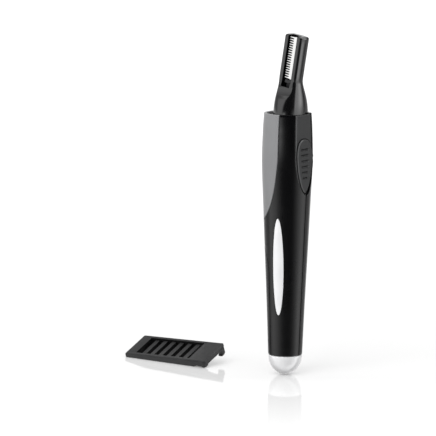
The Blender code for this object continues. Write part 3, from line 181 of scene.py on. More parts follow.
def computed(tree, operation, first, second):
    """A Math node. Each of its values is a socket or a plain number."""
    node = tree.nodes.new("ShaderNodeMath")
    node.operation = operation
    for socket, value in zip(node.inputs, (first, second)):
        if isinstance(value, float):
            socket.default_value = value
        else:
            tree.links.new(value, socket)
    return node.outputs["Value"]


def mixed(tree, share, first, second):
    """A mix of two colours, each a socket or a plain colour."""
    node = tree.nodes.new("ShaderNodeMix")
    node.data_type = "RGBA"
    tree.links.new(share, node.inputs[0])
    for socket, value in ((node.inputs[6], first), (node.inputs[7], second)):
        if isinstance(value, tuple):
            socket.default_value = (*value, 1.0)
        else:
            tree.links.new(value, socket)
    return node.outputs[2]


def skin_group():
    """A moulded or sprayed skin: its fine grain as a height, a slow drift of tone, a gloss and sparse dust."""
    group, given, out = detail_group("moulded_skin", ("Grain", "Drift"), ("Height", "Tone", "Gloss", "Dust"))
    nodes, links = group.nodes, group.links
    place = nodes.new("ShaderNodeTexCoord").outputs["Object"]

    def noise(scale_name, factor, detail):
        made = set_values(nodes.new("ShaderNodeTexNoise"), {"Detail": detail})
        links.new(place, made.inputs["Vector"])
        links.new(computed(group, "MULTIPLY", given.outputs[scale_name], factor), made.inputs["Scale"])
        return made.outputs["Fac"]

    for name, *settings in SKIN_NOISES:
        links.new(noise(*settings), out.inputs[name])
    specks = set_values(nodes.new("ShaderNodeTexVoronoi"), {"Scale": SPECK_SCALE})
    links.new(place, specks.inputs["Vector"])
    small = ranged(group, specks.outputs["Distance"], *SPECK_RADII, 1.0, 0.0)
    patches = ranged(group, noise(*PATCH_NOISE), *DUST_PATCHES, 0.0, 1.0)
    links.new(computed(group, "MULTIPLY", small, patches), out.inputs["Dust"])
    return group


MOULDED_SKIN = skin_group()


def moulded(name, colours, roughness, grain=9000.0, depth=0.000004, drift=90.0, dust=None, specular=0.5):
    """A moulded plastic, soft coating or paint with its own grain, drift of colour and gloss."""
    look, shader, detail = new_look(name, MOULDED_SKIN, Grain=grain, Drift=drift)
    shader.inputs["Specular IOR Level"].default_value = specular
    colour = ramp(look, detail["Tone"], *colours)
    if dust is not None:
        colour = mixed(look.node_tree, detail["Dust"], colour, dust)
    return surfaced(look, shader, colour, detail, roughness, depth)


def object_height(tree):
    """The height of each point of a piece."""
    place = tree.nodes.new("ShaderNodeTexCoord")
    split = tree.nodes.new("ShaderNodeSeparateXYZ")
    tree.links.new(place.outputs["Object"], split.inputs["Vector"])
    return split.outputs["Z"]


def cell_look():
    """The sleeve's bands are told apart by height, and the bare steel ends are metal."""
    look = moulded("cell_sleeve", SLEEVE_DARK, (0.24, 0.34), grain=4000.0, depth=0.000002)
    tree = look.node_tree
    inputs = tree.nodes["Principled BSDF"].inputs
    height = object_height(tree)
    band = computed(tree, "LESS_THAN", height, CELL_FOOT + CELL_BAND)
    bare = computed(tree, "LESS_THAN", height, CELL_FOOT + CELL_LIP)
    banded = mixed(tree, band, inputs["Base Color"].links[0].from_socket, SLEEVE_BAND)
    tree.links.new(mixed(tree, bare, banded, BARE_STEEL), inputs["Base Color"])
    tree.links.new(bare, inputs["Metallic"])
    return look


dress(cell_look(), "aaa_cell")


# Chassis, slide switch and circuit board
# The chassis is moulded in satin black plastic and carries all that is inside: the board with its small slide switch
# stands in front of the motor, and the switch's white lever reaches up to the thumb piece.
SATIN_BLACK = ((0.012, 0.012, 0.013), (0.018, 0.018, 0.02))
ACETAL = ((0.62, 0.62, 0.6), (0.7, 0.7, 0.68))
SOLDER_MASK = ((0.012, 0.09, 0.035), (0.02, 0.13, 0.05))
satin_black = moulded("satin_black_plastic", SATIN_BLACK, (0.42, 0.54), grain=5200.0, depth=0.000008)
acetal = moulded("natural_acetal", ACETAL, (0.36, 0.46), grain=4200.0, depth=0.000005)
dress(satin_black, "chassis", "switch_body", "motor_end_bell")
dress(acetal, "switch_lever", "drive_cam")
dress(moulded("green_solder_mask", SOLDER_MASK, (0.28, 0.4), grain=2600.0, depth=0.00001), "circuit_board")


# Motor, its cradle and leads
# A small flat-sided motor in a drawn and plated steel can. A soft grey cradle holds it against hum, two insulated
# leads run down to the board, and its shaft carries the white drum that drives the blade.
CAN_STEEL = ((0.42, 0.42, 0.43), (0.55, 0.55, 0.56))
CRADLE_GREY = ((0.16, 0.16, 0.165), (0.2, 0.2, 0.205))
LEAD_RED = ((0.36, 0.012, 0.012), (0.46, 0.02, 0.018))
LEAD_BLACK = ((0.01, 0.01, 0.011), (0.018, 0.018, 0.02))
dress(metal("plated_steel", CAN_STEEL, (0.26, 0.4), across=2600.0, along=300.0), "motor_can", "motor_shaft")
dress(moulded("cradle_rubber", CRADLE_GREY, (0.6, 0.72), grain=3400.0, depth=0.000012), "motor_cradle")
dress(moulded("red_insulation", LEAD_RED, (0.4, 0.5), grain=3000.0), "lead_positive")
dress(moulded("black_insulation", LEAD_BLACK, (0.4, 0.5), grain=3000.0), "lead_negative")


# Collar ring
# A satin black ring inside the rim that takes the foot of the head. Only its edge is seen, in the dark gap round
# the head's foot.
dress(satin_black, "collar_ring")


# Barrel shells
# Two front halves moulded in black plastic and polished by the mould, which snap together along the front seam and
# along a short seam at the back. A flat facet is cut down their front for the switch plate.
PIANO_BLACK = ((0.0014, 0.0014, 0.0017), (0.0024, 0.0024, 0.0028))
# The gloss is duller towards the foot, where it is handled: more roughness from one height down to another.
HANDLED = (0.08, 0.012, 0.17)
BLACK_DUST = (0.012, 0.012, 0.013)
BARREL_FOOT = 0.0086
RIM = 0.1085
WIDEST_RADIUS = 0.0104
# Each row is a share of the height from the foot to the rim, and a share of the widest radius.
BARREL_SHARES = ((0.0, 0.675), (0.205, 0.752), (0.47, 0.868), (0.64, 0.938), (0.805, 1.0), (0.94, 0.967), (1.0, 0.93))
SHELL_WALL = 0.0011
SHELL_ARC = 44
CURVE_STEPS = 120
# The step between a skin's levels, and the finer steps at the door's arch, the grip's tail and the recess's tip.
LEVEL_STEP = 0.0011
ARCH_LEVELS = (0.0548, 0.0562, 0.00015)
TAIL_LEVELS = (0.0624, 0.0660, 0.0003)
TIP_LEVELS = (0.0748, 0.0772, 0.0002)
SEAM = 0.0003
EDGE_ROUND = 0.00016
FACET_Y = -0.00845
FACET_Z = 0.090
FACET_TILT = radians(1.45)
TEARDROP_Z = 0.091
RECESS_HALF_WIDTH = 0.0061
RECESS_TOP_HALF_WIDTH = 0.0073
RECESS_DROP = 0.0160
# Shares of a teardrop's half width, rise and drop, which place the handles of its upper and lower curves.
TOP_FULLNESS = (0.68, 0.62)
TIP_FULLNESS = (0.45, 0.5, 0.95)
TEARDROP_STEPS = 24
PLATE_INSET = 0.0005
PLATE_TOP_HALF_WIDTH = 0.0049
GRIP_FRONT_Y = -0.0028
GRIP_BEND_Z = 0.090
GRIP_TAIL_Z = 0.0626
GRIP_SWEEP_SHARES = ((0.06, 0.42), (0.14, 0.12))
DOOR_FOOT_Y = 0.0023
DOOR_SHOULDER = (0.0027, 0.0440)
DOOR_ARCH_Z = 0.0560
DOOR_ARCH_SHARES = ((0.03, 0.5), (0.56, 0.22))
INLAY_ANGLE = radians(76)
INLAY_MIDDLE_Z = 0.04585
INLAY_HALF_HEIGHT = 0.0201
INLAY_HALF_WIDTH = 0.0023
INLAY_DEPTH = 0.0004
INLAY_CROWN = 0.0001
POCKET_GRID = (16, 72)
POCKET_LIFT = 0.001
POCKET_EDGE = 0.00001
FINE_GAP = 0.00012
MERGE = 0.000002


def barrel_radius(height):
    """The barrel's outer radius, by a smooth curve through its shares."""
    share = min(max((height - BARREL_FOOT) / (RIM - BARREL_FOOT), 0.0), 1.0)
    rows = BARREL_SHARES
    index = max(i for i in range(len(rows) - 1) if rows[i][0] <= share)
    (t1, p1), (t2, p2) = rows[index], rows[index + 1]
    t0, p0 = rows[max(index - 1, 0)]
    t3, p3 = rows[min(index + 2, len(rows) - 1)]
    slope1, slope2 = (p2 - p0) / (t2 - t0), (p3 - p1) / (t3 - t1)
    t = (share - t1) / (t2 - t1)
    ends = (2 * t**3 - 3 * t**2 + 1) * p1 + (3 * t**2 - 2 * t**3) * p2
    slopes = (t**3 - 2 * t**2 + t) * slope1 + (t**3 - t**2) * slope2
    return (ends + (t2 - t1) * slopes) * WIDEST_RADIUS


def on_barrel(angle, height, offset=0.0):
    """A point of the barrel's surface. Angles run from the front seam toward the blade's side."""
    radius = barrel_radius(height) + offset
    return Vector((-radius * sin(angle), -radius * cos(angle), height))


def bezier(a, b, c, d, steps):
    points = []
    for index in range(steps + 1):
        t = index / steps
        weights = ((1 - t) ** 3, 3 * t * (1 - t) ** 2, 3 * t * t * (1 - t), t**3)
        points.append(tuple(sum(w * p[axis] for w, p in zip(weights, (a, b, c, d))) for axis in (0, 1)))
    return points


def quarter_turn(steps):
    """Even steps of angle from 0 to a right angle."""
    return [pi / 2 * index / steps for index in range(steps + 1)]


def reader(points):
    """Reads the first value of (value, height) points at any height between them."""
    rows = sorted(points, key=lambda point: point[1])

    def read(height):
        if height <= rows[0][1]:
            return rows[0][0]
        for (v1, z1), (v2, z2) in zip(rows, rows[1:]):
            if height <= z2:
                return v1 + (v2 - v1) * (height - z1) / max(z2 - z1, MERGE)
        return rows[-1][0]

    return read


def grip_curve(inset):
    front, tail = GRIP_FRONT_Y + inset, GRIP_TAIL_Z + inset
    drop = GRIP_BEND_Z - GRIP_TAIL_Z
    (back1, left1), (back2, left2) = GRIP_SWEEP_SHARES
    handles = (front + drop * back1, tail + drop * left1), (front + drop * back2, tail + drop * left2)
    return bezier((front, GRIP_BEND_Z), *handles, (WIDEST_RADIUS, tail), CURVE_STEPS)


def door_curve(inset):
    shoulder_y, shoulder_z = DOOR_SHOULDER[0] + inset, DOOR_SHOULDER[1]
    rise = DOOR_ARCH_Z - shoulder_z
    (across1, up1), (across2, down2) = DOOR_ARCH_SHARES
    lower = (shoulder_y + WIDEST_RADIUS * across1, shoulder_z + rise * up1)
    upper = (WIDEST_RADIUS * across2, DOOR_ARCH_Z - inset - rise * down2)
    arch = bezier((shoulder_y, shoulder_z), lower, upper, (WIDEST_RADIUS, DOOR_ARCH_Z - inset), CURVE_STEPS)
    return [(DOOR_FOOT_Y + inset, BARREL_FOOT)] + arch


def side_angle(y, height):
    """The angle at which the barrel's surface stands at a depth."""
    return acos(min(max(-y / barrel_radius(height), -1.0), 1.0))


def teardrop(half_width, rise, drop):
    """One side of a teardrop, above its widest level and from there to its tip, as (x, z) about that level."""
    top_across, top_up = TOP_FULLNESS
    side_down, tip_across, tip_down = TIP_FULLNESS
    handles = (half_width * top_across, rise), (half_width, rise * top_up)
    upper = bezier((0, rise), *handles, (half_width, 0), TEARDROP_STEPS)
    handles = (half_width, -drop * side_down), (half_width * tip_across, -drop * tip_down)
    lower = bezier((half_width, 0), *handles, (0, -drop), TEARDROP_STEPS)
    return upper[:-1], lower


def recess_sides(inset, top_half_width):
    """Half widths of the facet's recess at heights, from its top down to its tip."""
    half_width, drop = RECESS_HALF_WIDTH - inset, RECESS_DROP - inset
    points = [(x, z + TEARDROP_Z) for x, z in teardrop(half_width, drop, drop)[1]]
    return reader([(top_half_width, RIM + EDGE_ROUND)] + points)


def patch(columns, rows, place):
    """A grid with its corners put where place says for a column and a row."""
    bm = bmesh.new()
    bmesh.ops.create_grid(bm, x_segments=columns, y_segments=rows, size=1.0)
    for corner in bm.verts:
        column = round((corner.co.x + 1) / 2 * columns)
        row = round((corner.co.y + 1) / 2 * rows)
        corner.co = place(column, row)
    bmesh.ops.remove_doubles(bm, verts=bm.verts[:], dist=MERGE)
    bm.normal_update()
    lean = sum(face.normal.dot(Vector((*face.calc_center_median().xy, 0))) * face.calc_area() for face in bm.faces)
    if lean < 0:
        bmesh.ops.reverse_faces(bm, faces=bm.faces[:])
    return bm


def in_scene(name, data):
    made = bpy.data.objects.new(name, data)
    bpy.context.scene.collection.objects.link(made)
    return made


def axes_at(place, *axes):
    """The frame at a place that has these three axes."""
    return Matrix.Translation(place) @ Matrix(axes).transposed().to_4x4()


def piece_from(bm, name, look=None):
    mesh = bpy.data.meshes.new(name)
    bm.to_mesh(mesh)
    bm.free()
    if look is not None:
        mesh.materials.append(look)
    return in_scene(name, mesh)


def closed_piece(bm, place, name, look=None):
    """A piece from a closed form in a frame, its faces turned outward."""
    bmesh.ops.transform(bm, matrix=place, verts=bm.verts[:])
    bmesh.ops.recalc_face_normals(bm, faces=bm.faces[:])
    return piece_from(bm, name, look)


def settle(piece, sharp=32):
    """Makes the piece's modifiers part of its mesh and shades it smooth up to an angle."""
    graph = bpy.context.evaluated_depsgraph_get()
    mesh = bpy.data.meshes.new_from_object(piece.evaluated_get(graph))
    piece.modifiers.clear()
    piece.data = mesh
    mesh.shade_smooth()
    mesh.set_sharp_from_angle(angle=radians(sharp))
    return piece


def walled(piece, thickness, round_by=EDGE_ROUND, segments=3):
    """Gives a skin its wall, inward, and rounds its edges."""
    wall = piece.modifiers.new("Wall", "SOLIDIFY")
    wall.thickness = thickness
    wall.offset = -1.0
    wall.use_even_offset = True
    rounded(piece, round_by, segments)
    return settle(piece)


def rounded(piece, width, segments=3, angle=38):
    step = piece.modifiers.new("Round", "BEVEL")
    step.width = width
    step.segments = segments
    step.limit_method = "ANGLE"
    step.angle_limit = radians(angle)
    step.use_clamp_overlap = False
    step.miter_outer = "MITER_ARC"
    return piece


def carve(piece, tool, operation="DIFFERENCE"):
    step = piece.modifiers.new("Carve", "BOOLEAN")
    step.operation = operation
    step.object = tool
    step.solver = "EXACT"
    settle(piece)
    bpy.data.objects.remove(tool)
    return piece


def put(piece, body, slot, *nodes):
    """Says which body a piece rides on and hides the nodes that it stands for. The finish that it is given is not
    used.
    """
    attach(piece, body)
    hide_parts(*nodes)
    return piece


def levels(low, high, step, *dense):
    """Heights from low to high, closer together where a curve turns quickly."""
    heights = set()
    for start, end, fine in ((low, high, step), *dense):
        count = round((end - start) / fine)
        heights |= {start + (end - start) * index / count for index in range(count + 1)}
    return sorted(height for height in heights if low <= height <= high)


def oval_place(angle, columns, rows, margin, offset, crown=0.0):
    """Places a grid as an oval on the barrel, by drawing a square's sides in to a circle."""

    def place(column, row):
        u, v = 2 * column / columns - 1, 2 * row / rows - 1
        x, y = u * sqrt(1 - v * v / 2), v * sqrt(1 - u * u / 2)
        height = INLAY_MIDDLE_Z + y * (INLAY_HALF_HEIGHT + margin)
        turn = asin(x * (INLAY_HALF_WIDTH + margin) / barrel_radius(height))
        return on_barrel(angle + turn, height, offset + crown * (1 - x * x - y * y))

    return place


def facet_y(height):
    return FACET_Y + (height - FACET_Z) * tan(FACET_TILT)


SHELL_LEVELS = levels(BARREL_FOOT, RIM, LEVEL_STEP, ARCH_LEVELS, TAIL_LEVELS, TIP_LEVELS)
recess_half = recess_sides(0.0, RECESS_TOP_HALF_WIDTH)
plate_half = recess_sides(PLATE_INSET - FINE_GAP, PLATE_TOP_HALF_WIDTH + FINE_GAP)
grip_y = reader(grip_curve(0.0))
door_y = reader(door_curve(0.0))


def shell_columns(height):
    """The shell's front and back angles at a height, and its facet's outer and inner half widths."""
    radius = barrel_radius(height)
    near_seam = SEAM / 2
    if height > GRIP_TAIL_Z:
        back = side_angle(grip_y(height), height)
    elif height < DOOR_ARCH_Z:
        back = side_angle(door_y(height), height)
    else:
        back = pi
    back = min(back, pi - near_seam / radius)
    depth = facet_y(height)
    outer = max(near_seam, recess_half(height)) if height > TEARDROP_Z - RECESS_DROP else near_seam
    if radius > -depth:
        chord = sqrt(radius * radius - depth * depth)
        outer = min(outer, max(chord, near_seam))
    inner = min(outer, max(near_seam, plate_half(height)))
    return asin(outer / radius), back, outer, inner, depth


def shell_place(column, row):
    height = SHELL_LEVELS[row]
    front, back, outer, inner, depth = shell_columns(height)
    if column <= SHELL_ARC:
        share = column / SHELL_ARC
        return on_barrel(back + (front - back) * share, height)
    if outer <= SEAM / 2 + MERGE:
        return on_barrel(front, height)
    across = outer if column == SHELL_ARC + 1 else inner
    return Vector((-across, depth, height))


def duller_below(look, high, low, amount):
    """Adds roughness from one height down to another."""
    tree = look.node_tree
    rough = tree.nodes["Principled BSDF"].inputs["Roughness"]
    worn = ranged(tree, object_height(tree), low, high, amount, 0.0)
    tree.links.new(computed(tree, "ADD", rough.links[0].from_socket, worn), rough)


piano_black = moulded(
    "polished_black_plastic", PIANO_BLACK, (0.13, 0.2), grain=1500.0, depth=0.0000012, dust=BLACK_DUST
)
duller_below(piano_black, *HANDLED)
left_shell = piece_from(patch(SHELL_ARC + 2, len(SHELL_LEVELS) - 1, shell_place), "left_shell_skin", piano_black)
walled(left_shell, SHELL_WALL)
pocket_oval = patch(*POCKET_GRID, oval_place(INLAY_ANGLE, *POCKET_GRID, FINE_GAP, POCKET_LIFT))
pocket = piece_from(pocket_oval, "inlay_pocket")
carve(left_shell, walled(pocket, POCKET_LIFT + INLAY_DEPTH + FINE_GAP, POCKET_EDGE, segments=1))


def mirrored(piece, name):
    """The same piece on the other side of the barrel."""
    bm = bmesh.new()
    bm.from_mesh(piece.data)
    bmesh.ops.scale(bm, vec=(-1, 1, 1), verts=bm.verts[:])
    bmesh.ops.reverse_faces(bm, faces=bm.faces[:])
    made = piece_from(bm, name, piece.data.materials[0])
    return settle(made)


put(left_shell, "trimmer", "black_gloss", "left_shell")
put(mirrored(left_shell, "right_shell_skin"), "trimmer", "black_gloss", "right_shell")


# Rear grip
# A soft grey coating over its own moulded panel, which wraps the back of the upper barrel and sweeps to a rounded
# tail. It is clipped into the two shells, and its top edge is part of the rim.
GRIP_GREY = ((0.216, 0.217, 0.222), (0.236, 0.237, 0.242))
GRIP_SHEEN = {"Sheen Weight": 0.3, "Sheen Roughness": 0.35}
GRIP_ARC = 56
# The finest levels run from the grip's tail up to a height, and the fine ones on from there.
GRIP_FINEST = (0.0640, 0.0001)
GRIP_FINE = (0.0640, 0.0670, 0.0003)
inner_grip = grip_curve(SEAM)
grip_low = min(z for y, z in inner_grip if y <= barrel_radius(z))
grip_levels = levels(grip_low, RIM, LEVEL_STEP, (grip_low, *GRIP_FINEST), GRIP_FINE)


def back_skin(heights, columns, front_line, tip_row, name, look):
    """A skin round the barrel's back from a front line to its mirror image. The two meet in a tip at one row."""
    front_y = reader(front_line)

    def place(column, row):
        height = heights[row]
        edge = pi if row == tip_row else side_angle(front_y(height), height)
        return on_barrel(edge + (2 * pi - 2 * edge) * column / columns, height)

    return walled(piece_from(patch(columns, len(heights) - 1, place), name, look), SHELL_WALL)


soft_grey = moulded("soft_grey_coating", GRIP_GREY, (0.42, 0.5), grain=14000.0, depth=0.000006, drift=60.0)
set_values(soft_grey.node_tree.nodes["Principled BSDF"], GRIP_SHEEN)
grip = back_skin(grip_levels, GRIP_ARC, inner_grip, 0, "rear_grip_skin", soft_grey)
put(grip, "trimmer", "grey_rubber", "rear_grip")


# Battery door
# An arched door at the back of the lower barrel, in the same polished black plastic. It pulls straight back off the
# cell.
DOOR_ARC = 40
# The door's levels stand closer from this height up.
DOOR_FINE_LOW = 0.0530
DOOR_FINE_STEP = 0.0002
inner_door = door_curve(SEAM)
door_high = max(z for y, z in inner_door if y <= barrel_radius(z))
door_levels = levels(BARREL_FOOT, door_high, LEVEL_STEP, (DOOR_FINE_LOW, door_high, DOOR_FINE_STEP))
door = back_skin(door_levels, DOOR_ARC, inner_door, len(door_levels) - 1, "battery_door_skin", piano_black)
put(door, "door", "black_gloss", "battery_door")


# Domed end cap
# A turned-looking dome moulded in plastic and sprayed pearl silver. Its spigot plugs the foot of the barrel, and the
# positive contact rests on it.
PEARL = ((0.81, 0.81, 0.82), (0.88, 0.88, 0.89))
PEARL_COAT = {"Metallic": 0.15, "Coat Weight": 0.6, "Coat Roughness": 0.12}
FLAKE_SCALE = 7000.0
FLAKE_BUMP = (0.000003, 0.5)
DOME_HEIGHT = 0.0083
DOME_STEPS = 32
SPIGOT_HEIGHT = 0.002


def pearl_look():
    """A silver base with fine bright flakes under a clear coat."""
    look = moulded("pearl_silver_spray", PEARL, (0.3, 0.38), grain=6000.0, depth=0.000003, drift=120.0)
    nodes, links = look.node_tree.nodes, look.node_tree.links
    shader = set_values(nodes["Principled BSDF"], PEARL_COAT)
    place = nodes.new("ShaderNodeTexCoord")
    flakes = set_values(nodes.new("ShaderNodeTexVoronoi"), {"Scale": FLAKE_SCALE})
    links.new(place.outputs["Object"], flakes.inputs["Vector"])
    under = shader.inputs["Normal"].links[0].from_socket
    links.new(bump(look, flakes.outputs["Color"], *FLAKE_BUMP, under), shader.inputs["Normal"])
    return look


pearl = pearl_look()


def spun(profile, name, look, segments=96, place=Matrix()):
    """A closed form spun round an upright axis from (radius, height) points."""
    bm = bmesh.new()
    corners = [bm.verts.new((radius, 0.0, height)) for radius, height in profile]
    drawn = corners + [bm.edges.new(pair) for pair in zip(corners, corners[1:])]
    middle, axis = (0, 0, 0), (0, 0, 1)
    bmesh.ops.spin(bm, geom=drawn, cent=middle, axis=axis, angle=2 * pi, steps=segments, use_merge=True)
    bmesh.ops.remove_doubles(bm, verts=bm.verts[:], dist=MERGE)
    return closed_piece(bm, place, name, look)


foot_radius = barrel_radius(BARREL_FOOT)
spigot = foot_radius - SHELL_WALL - SEAM
dome = [(foot_radius * sin(turn), DOME_HEIGHT * (1 - cos(turn))) for turn in quarter_turn(DOME_STEPS)[:-1]]
dome += [(foot_radius, DOME_HEIGHT - EDGE_ROUND), (foot_radius - EDGE_ROUND, DOME_HEIGHT)]
dome += [(spigot, DOME_HEIGHT), (spigot, DOME_HEIGHT + SPIGOT_HEIGHT), (0, DOME_HEIGHT + SPIGOT_HEIGHT)]
put(settle(spun(dome, "end_cap_dome", pearl)), "trimmer", "pearl_silver", "end_cap")


# Oval inlays
# Two long ovals sprayed in the same pearl silver and pressed into shallow pockets in the shells, one on each side.
INLAY_GRID = (24, 96)
INLAY_EDGE = 0.00008
for side, name in ((1, "inlay_left"), (-1, "inlay_right")):
    oval = patch(*INLAY_GRID, oval_place(side * INLAY_ANGLE, *INLAY_GRID, 0.0, 0.0, INLAY_CROWN))
    inlay = walled(piece_from(oval, f"{name}_oval", pearl), INLAY_DEPTH, INLAY_EDGE, segments=2)
    put(inlay, "trimmer", "pearl_silver", name)


# Switch plate
# A satin graphite plate, flat and thin, that closes the facet from the rim down to the tip of the recess. The stem of
# the thumb piece runs through a slot in it.
GRAPHITE = ((0.0176, 0.0181, 0.019), (0.0222, 0.0227, 0.0237))
# Painted highlight: a paler graphite, and how far a face must lean to the blade's side and to the front to take it.
EDGE_HIGHLIGHT_GRAPHITE = ((0.085, 0.0857, 0.088), (0.1, 0.1008, 0.103))
EDGE_HIGHLIGHT_LEAN = 0.12
PLATE_THICKNESS = 0.0006
PLATE_EDGE = 0.0003
PLATE_EDGE_STEPS = 8
PLATE_EDGE_SPREAD = 1.8
EDGE_RING = 0.1
STEM_HALF_WIDTH = 0.0018
STEM_SLOT = (0.0793, 0.0862)
# Turns (across, up, out of the front) into the shared frame.
OUT_OF_FRONT = Matrix(((1, 0, 0, 0), (0, 0, -1, 0), (0, 1, 0, 0), (0, 0, 0, 1)))
FACET_FRAME = Matrix.Translation((0, FACET_Y, FACET_Z)) @ Matrix.Rotation(-FACET_TILT, 4, "X") @ OUT_OF_FRONT


def slab(outline, low, high, place, name, look=None, edge=0.0, steps=2, spread=1.0):
    """A flat piece from an outline in a frame's XY.

    Its high face may have a rounded edge, an arc that is spread inward and ends in a narrow flat ring.
    """
    bm = bmesh.new()
    base = bm.faces.new([bm.verts.new((x, y, low)) for x, y in outline])
    grown = bmesh.ops.extrude_face_region(bm, geom=[base])["geom"]
    tops = [item for item in grown if isinstance(item, bmesh.types.BMFace)]
    moved = [item for item in grown if isinstance(item, bmesh.types.BMVert)]
    bmesh.ops.translate(bm, verts=moved, vec=(0, 0, high - low - edge))
    bmesh.ops.recalc_face_normals(bm, faces=bm.faces[:])
    if edge:
        turns = quarter_turn(steps)
        for start, end in zip(turns, turns[1:]):
            inward, outward = edge * spread * (cos(start) - cos(end)), edge * (sin(end) - sin(start))
            bmesh.ops.inset_region(bm, faces=tops, thickness=inward, depth=outward, use_even_offset=True)
        bmesh.ops.inset_region(bm, faces=tops, thickness=EDGE_RING * edge, depth=0.0, use_even_offset=True)
    return closed_piece(bm, place, name, look)


def both_sides(side):
    """Closes one side's (x, z) points, from the top down, with their mirror image."""
    return side + [(-x, z) for x, z in reversed(side) if x > MERGE]


def rectangle(low_x, high_x, low_y, high_y):
    return [(low_x, low_y), (high_x, low_y), (high_x, high_y), (low_x, high_y)]


def paint_edge_highlight(piece):
    """Paints a highlight: faces that lean to the blade's side and to the front, as on the rounded edge there, take a
    paler graphite.
    """
    piece.data.materials.append(edge_highlight_graphite)
    for face in piece.data.polygons:
        if face.normal.x < -EDGE_HIGHLIGHT_LEAN and face.normal.y < -EDGE_HIGHLIGHT_LEAN:
            face.material_index = 1


# Painted highlight: the paler graphite that the rounded edge on the blade's side takes.
edge_highlight_graphite = moulded("graphite_painted_highlight", EDGE_HIGHLIGHT_GRAPHITE, (0.32, 0.4), grain=9000.0, depth=0.000005, specular=0.4)
graphite = moulded("satin_graphite", GRAPHITE, (0.32, 0.4), grain=9000.0, depth=0.000005, specular=0.28)
half_width, drop = RECESS_HALF_WIDTH - PLATE_INSET, RECESS_DROP - PLATE_INSET
lower_side = [(x, z + TEARDROP_Z - FACET_Z) for x, z in teardrop(half_width, drop, drop)[1]]
plate_side = [(PLATE_TOP_HALF_WIDTH, RIM - FACET_Z - SEAM)] + lower_side
edge = (PLATE_EDGE, PLATE_EDGE_STEPS, PLATE_EDGE_SPREAD)
plate = slab(both_sides(plate_side), -PLATE_THICKNESS, 0.0, FACET_FRAME, "switch_plate", graphite, *edge)
stem_slot = rectangle(-STEM_HALF_WIDTH, STEM_HALF_WIDTH, STEM_SLOT[0] - FACET_Z, STEM_SLOT[1] - FACET_Z)
carve(plate, slab(stem_slot, -2 * PLATE_THICKNESS, PLATE_THICKNESS, FACET_FRAME, "stem_slot"))
paint_edge_highlight(plate)
put(plate, "trimmer", "satin_graphite", "switch_track")


# Thumb piece
# A teardrop moulded in satin graphite, with six rounded grooves across it for grip. A thin near-black sheet just
# wider than its foot slides with it over the plate and paints the shade of the gap round it, and its stem reaches
# through the plate to the switch's lever.
THUMB_HALF_WIDTH = 0.0049
THUMB_RISE = 0.0072
THUMB_DROP = 0.0148
THUMB_BACK = 0.00015
THUMB_FACE = 0.00065
THUMB_EDGE = 0.0004
THUMB_EDGE_STEPS = 6
THUMB_EDGE_SPREAD = 1.2
# Painted shade: how far the near-black sheet reaches past the thumb piece, its face, and its colour.
GAP_SHADE_MARGIN = 0.00036
GAP_SHADE_FACE = 0.00022
GAP_SHADE_BLACK = ((0.0012, 0.0012, 0.0012), (0.002, 0.002, 0.002))
GROOVE_COUNT = 6
GROOVE_PITCH = 0.00234
GROOVE_HALF_WIDTH = 0.0029
GROOVE_HALF = 0.0005
GROOVE_DEPTH = 0.00045
GROOVE_FIRST_RISE = 0.0030
GROOVE_TAPER = 0.4
STEM_LOW, STEM_HIGH = 0.0796, 0.0820
STEM_HALF = 0.0015
STEM_REACH = 0.0015


def thumb_outline(margin):
    upper, lower = teardrop(THUMB_HALF_WIDTH + margin, THUMB_RISE + margin, THUMB_DROP + margin)
    side = [(x, z + TEARDROP_Z - FACET_Z) for x, z in upper + lower]
    return side + [(-x, z) for x, z in side[-2:0:-1]]


edge = (THUMB_EDGE, THUMB_EDGE_STEPS, THUMB_EDGE_SPREAD)
thumb = slab(thumb_outline(0.0), THUMB_BACK, THUMB_FACE, FACET_FRAME, "thumb_piece", graphite, *edge)
for index in range(GROOVE_COUNT):
    middle = TEARDROP_Z - FACET_Z + GROOVE_FIRST_RISE - GROOVE_PITCH * index
    half = GROOVE_HALF_WIDTH * (1 - GROOVE_TAPER * (index / GROOVE_COUNT) ** 2)
    groove = bmesh.new()
    bmesh.ops.create_uvsphere(groove, u_segments=24, v_segments=16, radius=GROOVE_HALF)
    for corner in groove.verts:
        corner.co.x += (half - GROOVE_HALF) * (1 if corner.co.x > 0 else -1)
    sunk = Matrix.Translation((0, middle, THUMB_FACE + GROOVE_HALF - GROOVE_DEPTH))
    carve(thumb, closed_piece(groove, FACET_FRAME @ sunk, f"groove_{index}"))
stem = rectangle(-STEM_HALF, STEM_HALF, STEM_LOW - FACET_Z, STEM_HIGH - FACET_Z)
carve(thumb, slab(stem, -STEM_REACH, THUMB_BACK + FINE_GAP, FACET_FRAME, "thumb_stem", graphite), "UNION")
paint_edge_highlight(thumb)
put(thumb, "thumb_switch", "satin_graphite", "thumb_slide")
# Painted shade: a matt near-black sheet round the thumb piece's foot stands in for the shade of the gap round it.
painted_gap_shade = moulded("painted_gap_shade", GAP_SHADE_BLACK, (0.7, 0.8), grain=5200.0, specular=0.15)
gap_shade_sheet = slab(thumb_outline(GAP_SHADE_MARGIN), THUMB_BACK, GAP_SHADE_FACE, FACET_FRAME, "thumb_gap_shade_sheet", painted_gap_shade)
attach(settle(gap_shade_sheet), "thumb_switch")


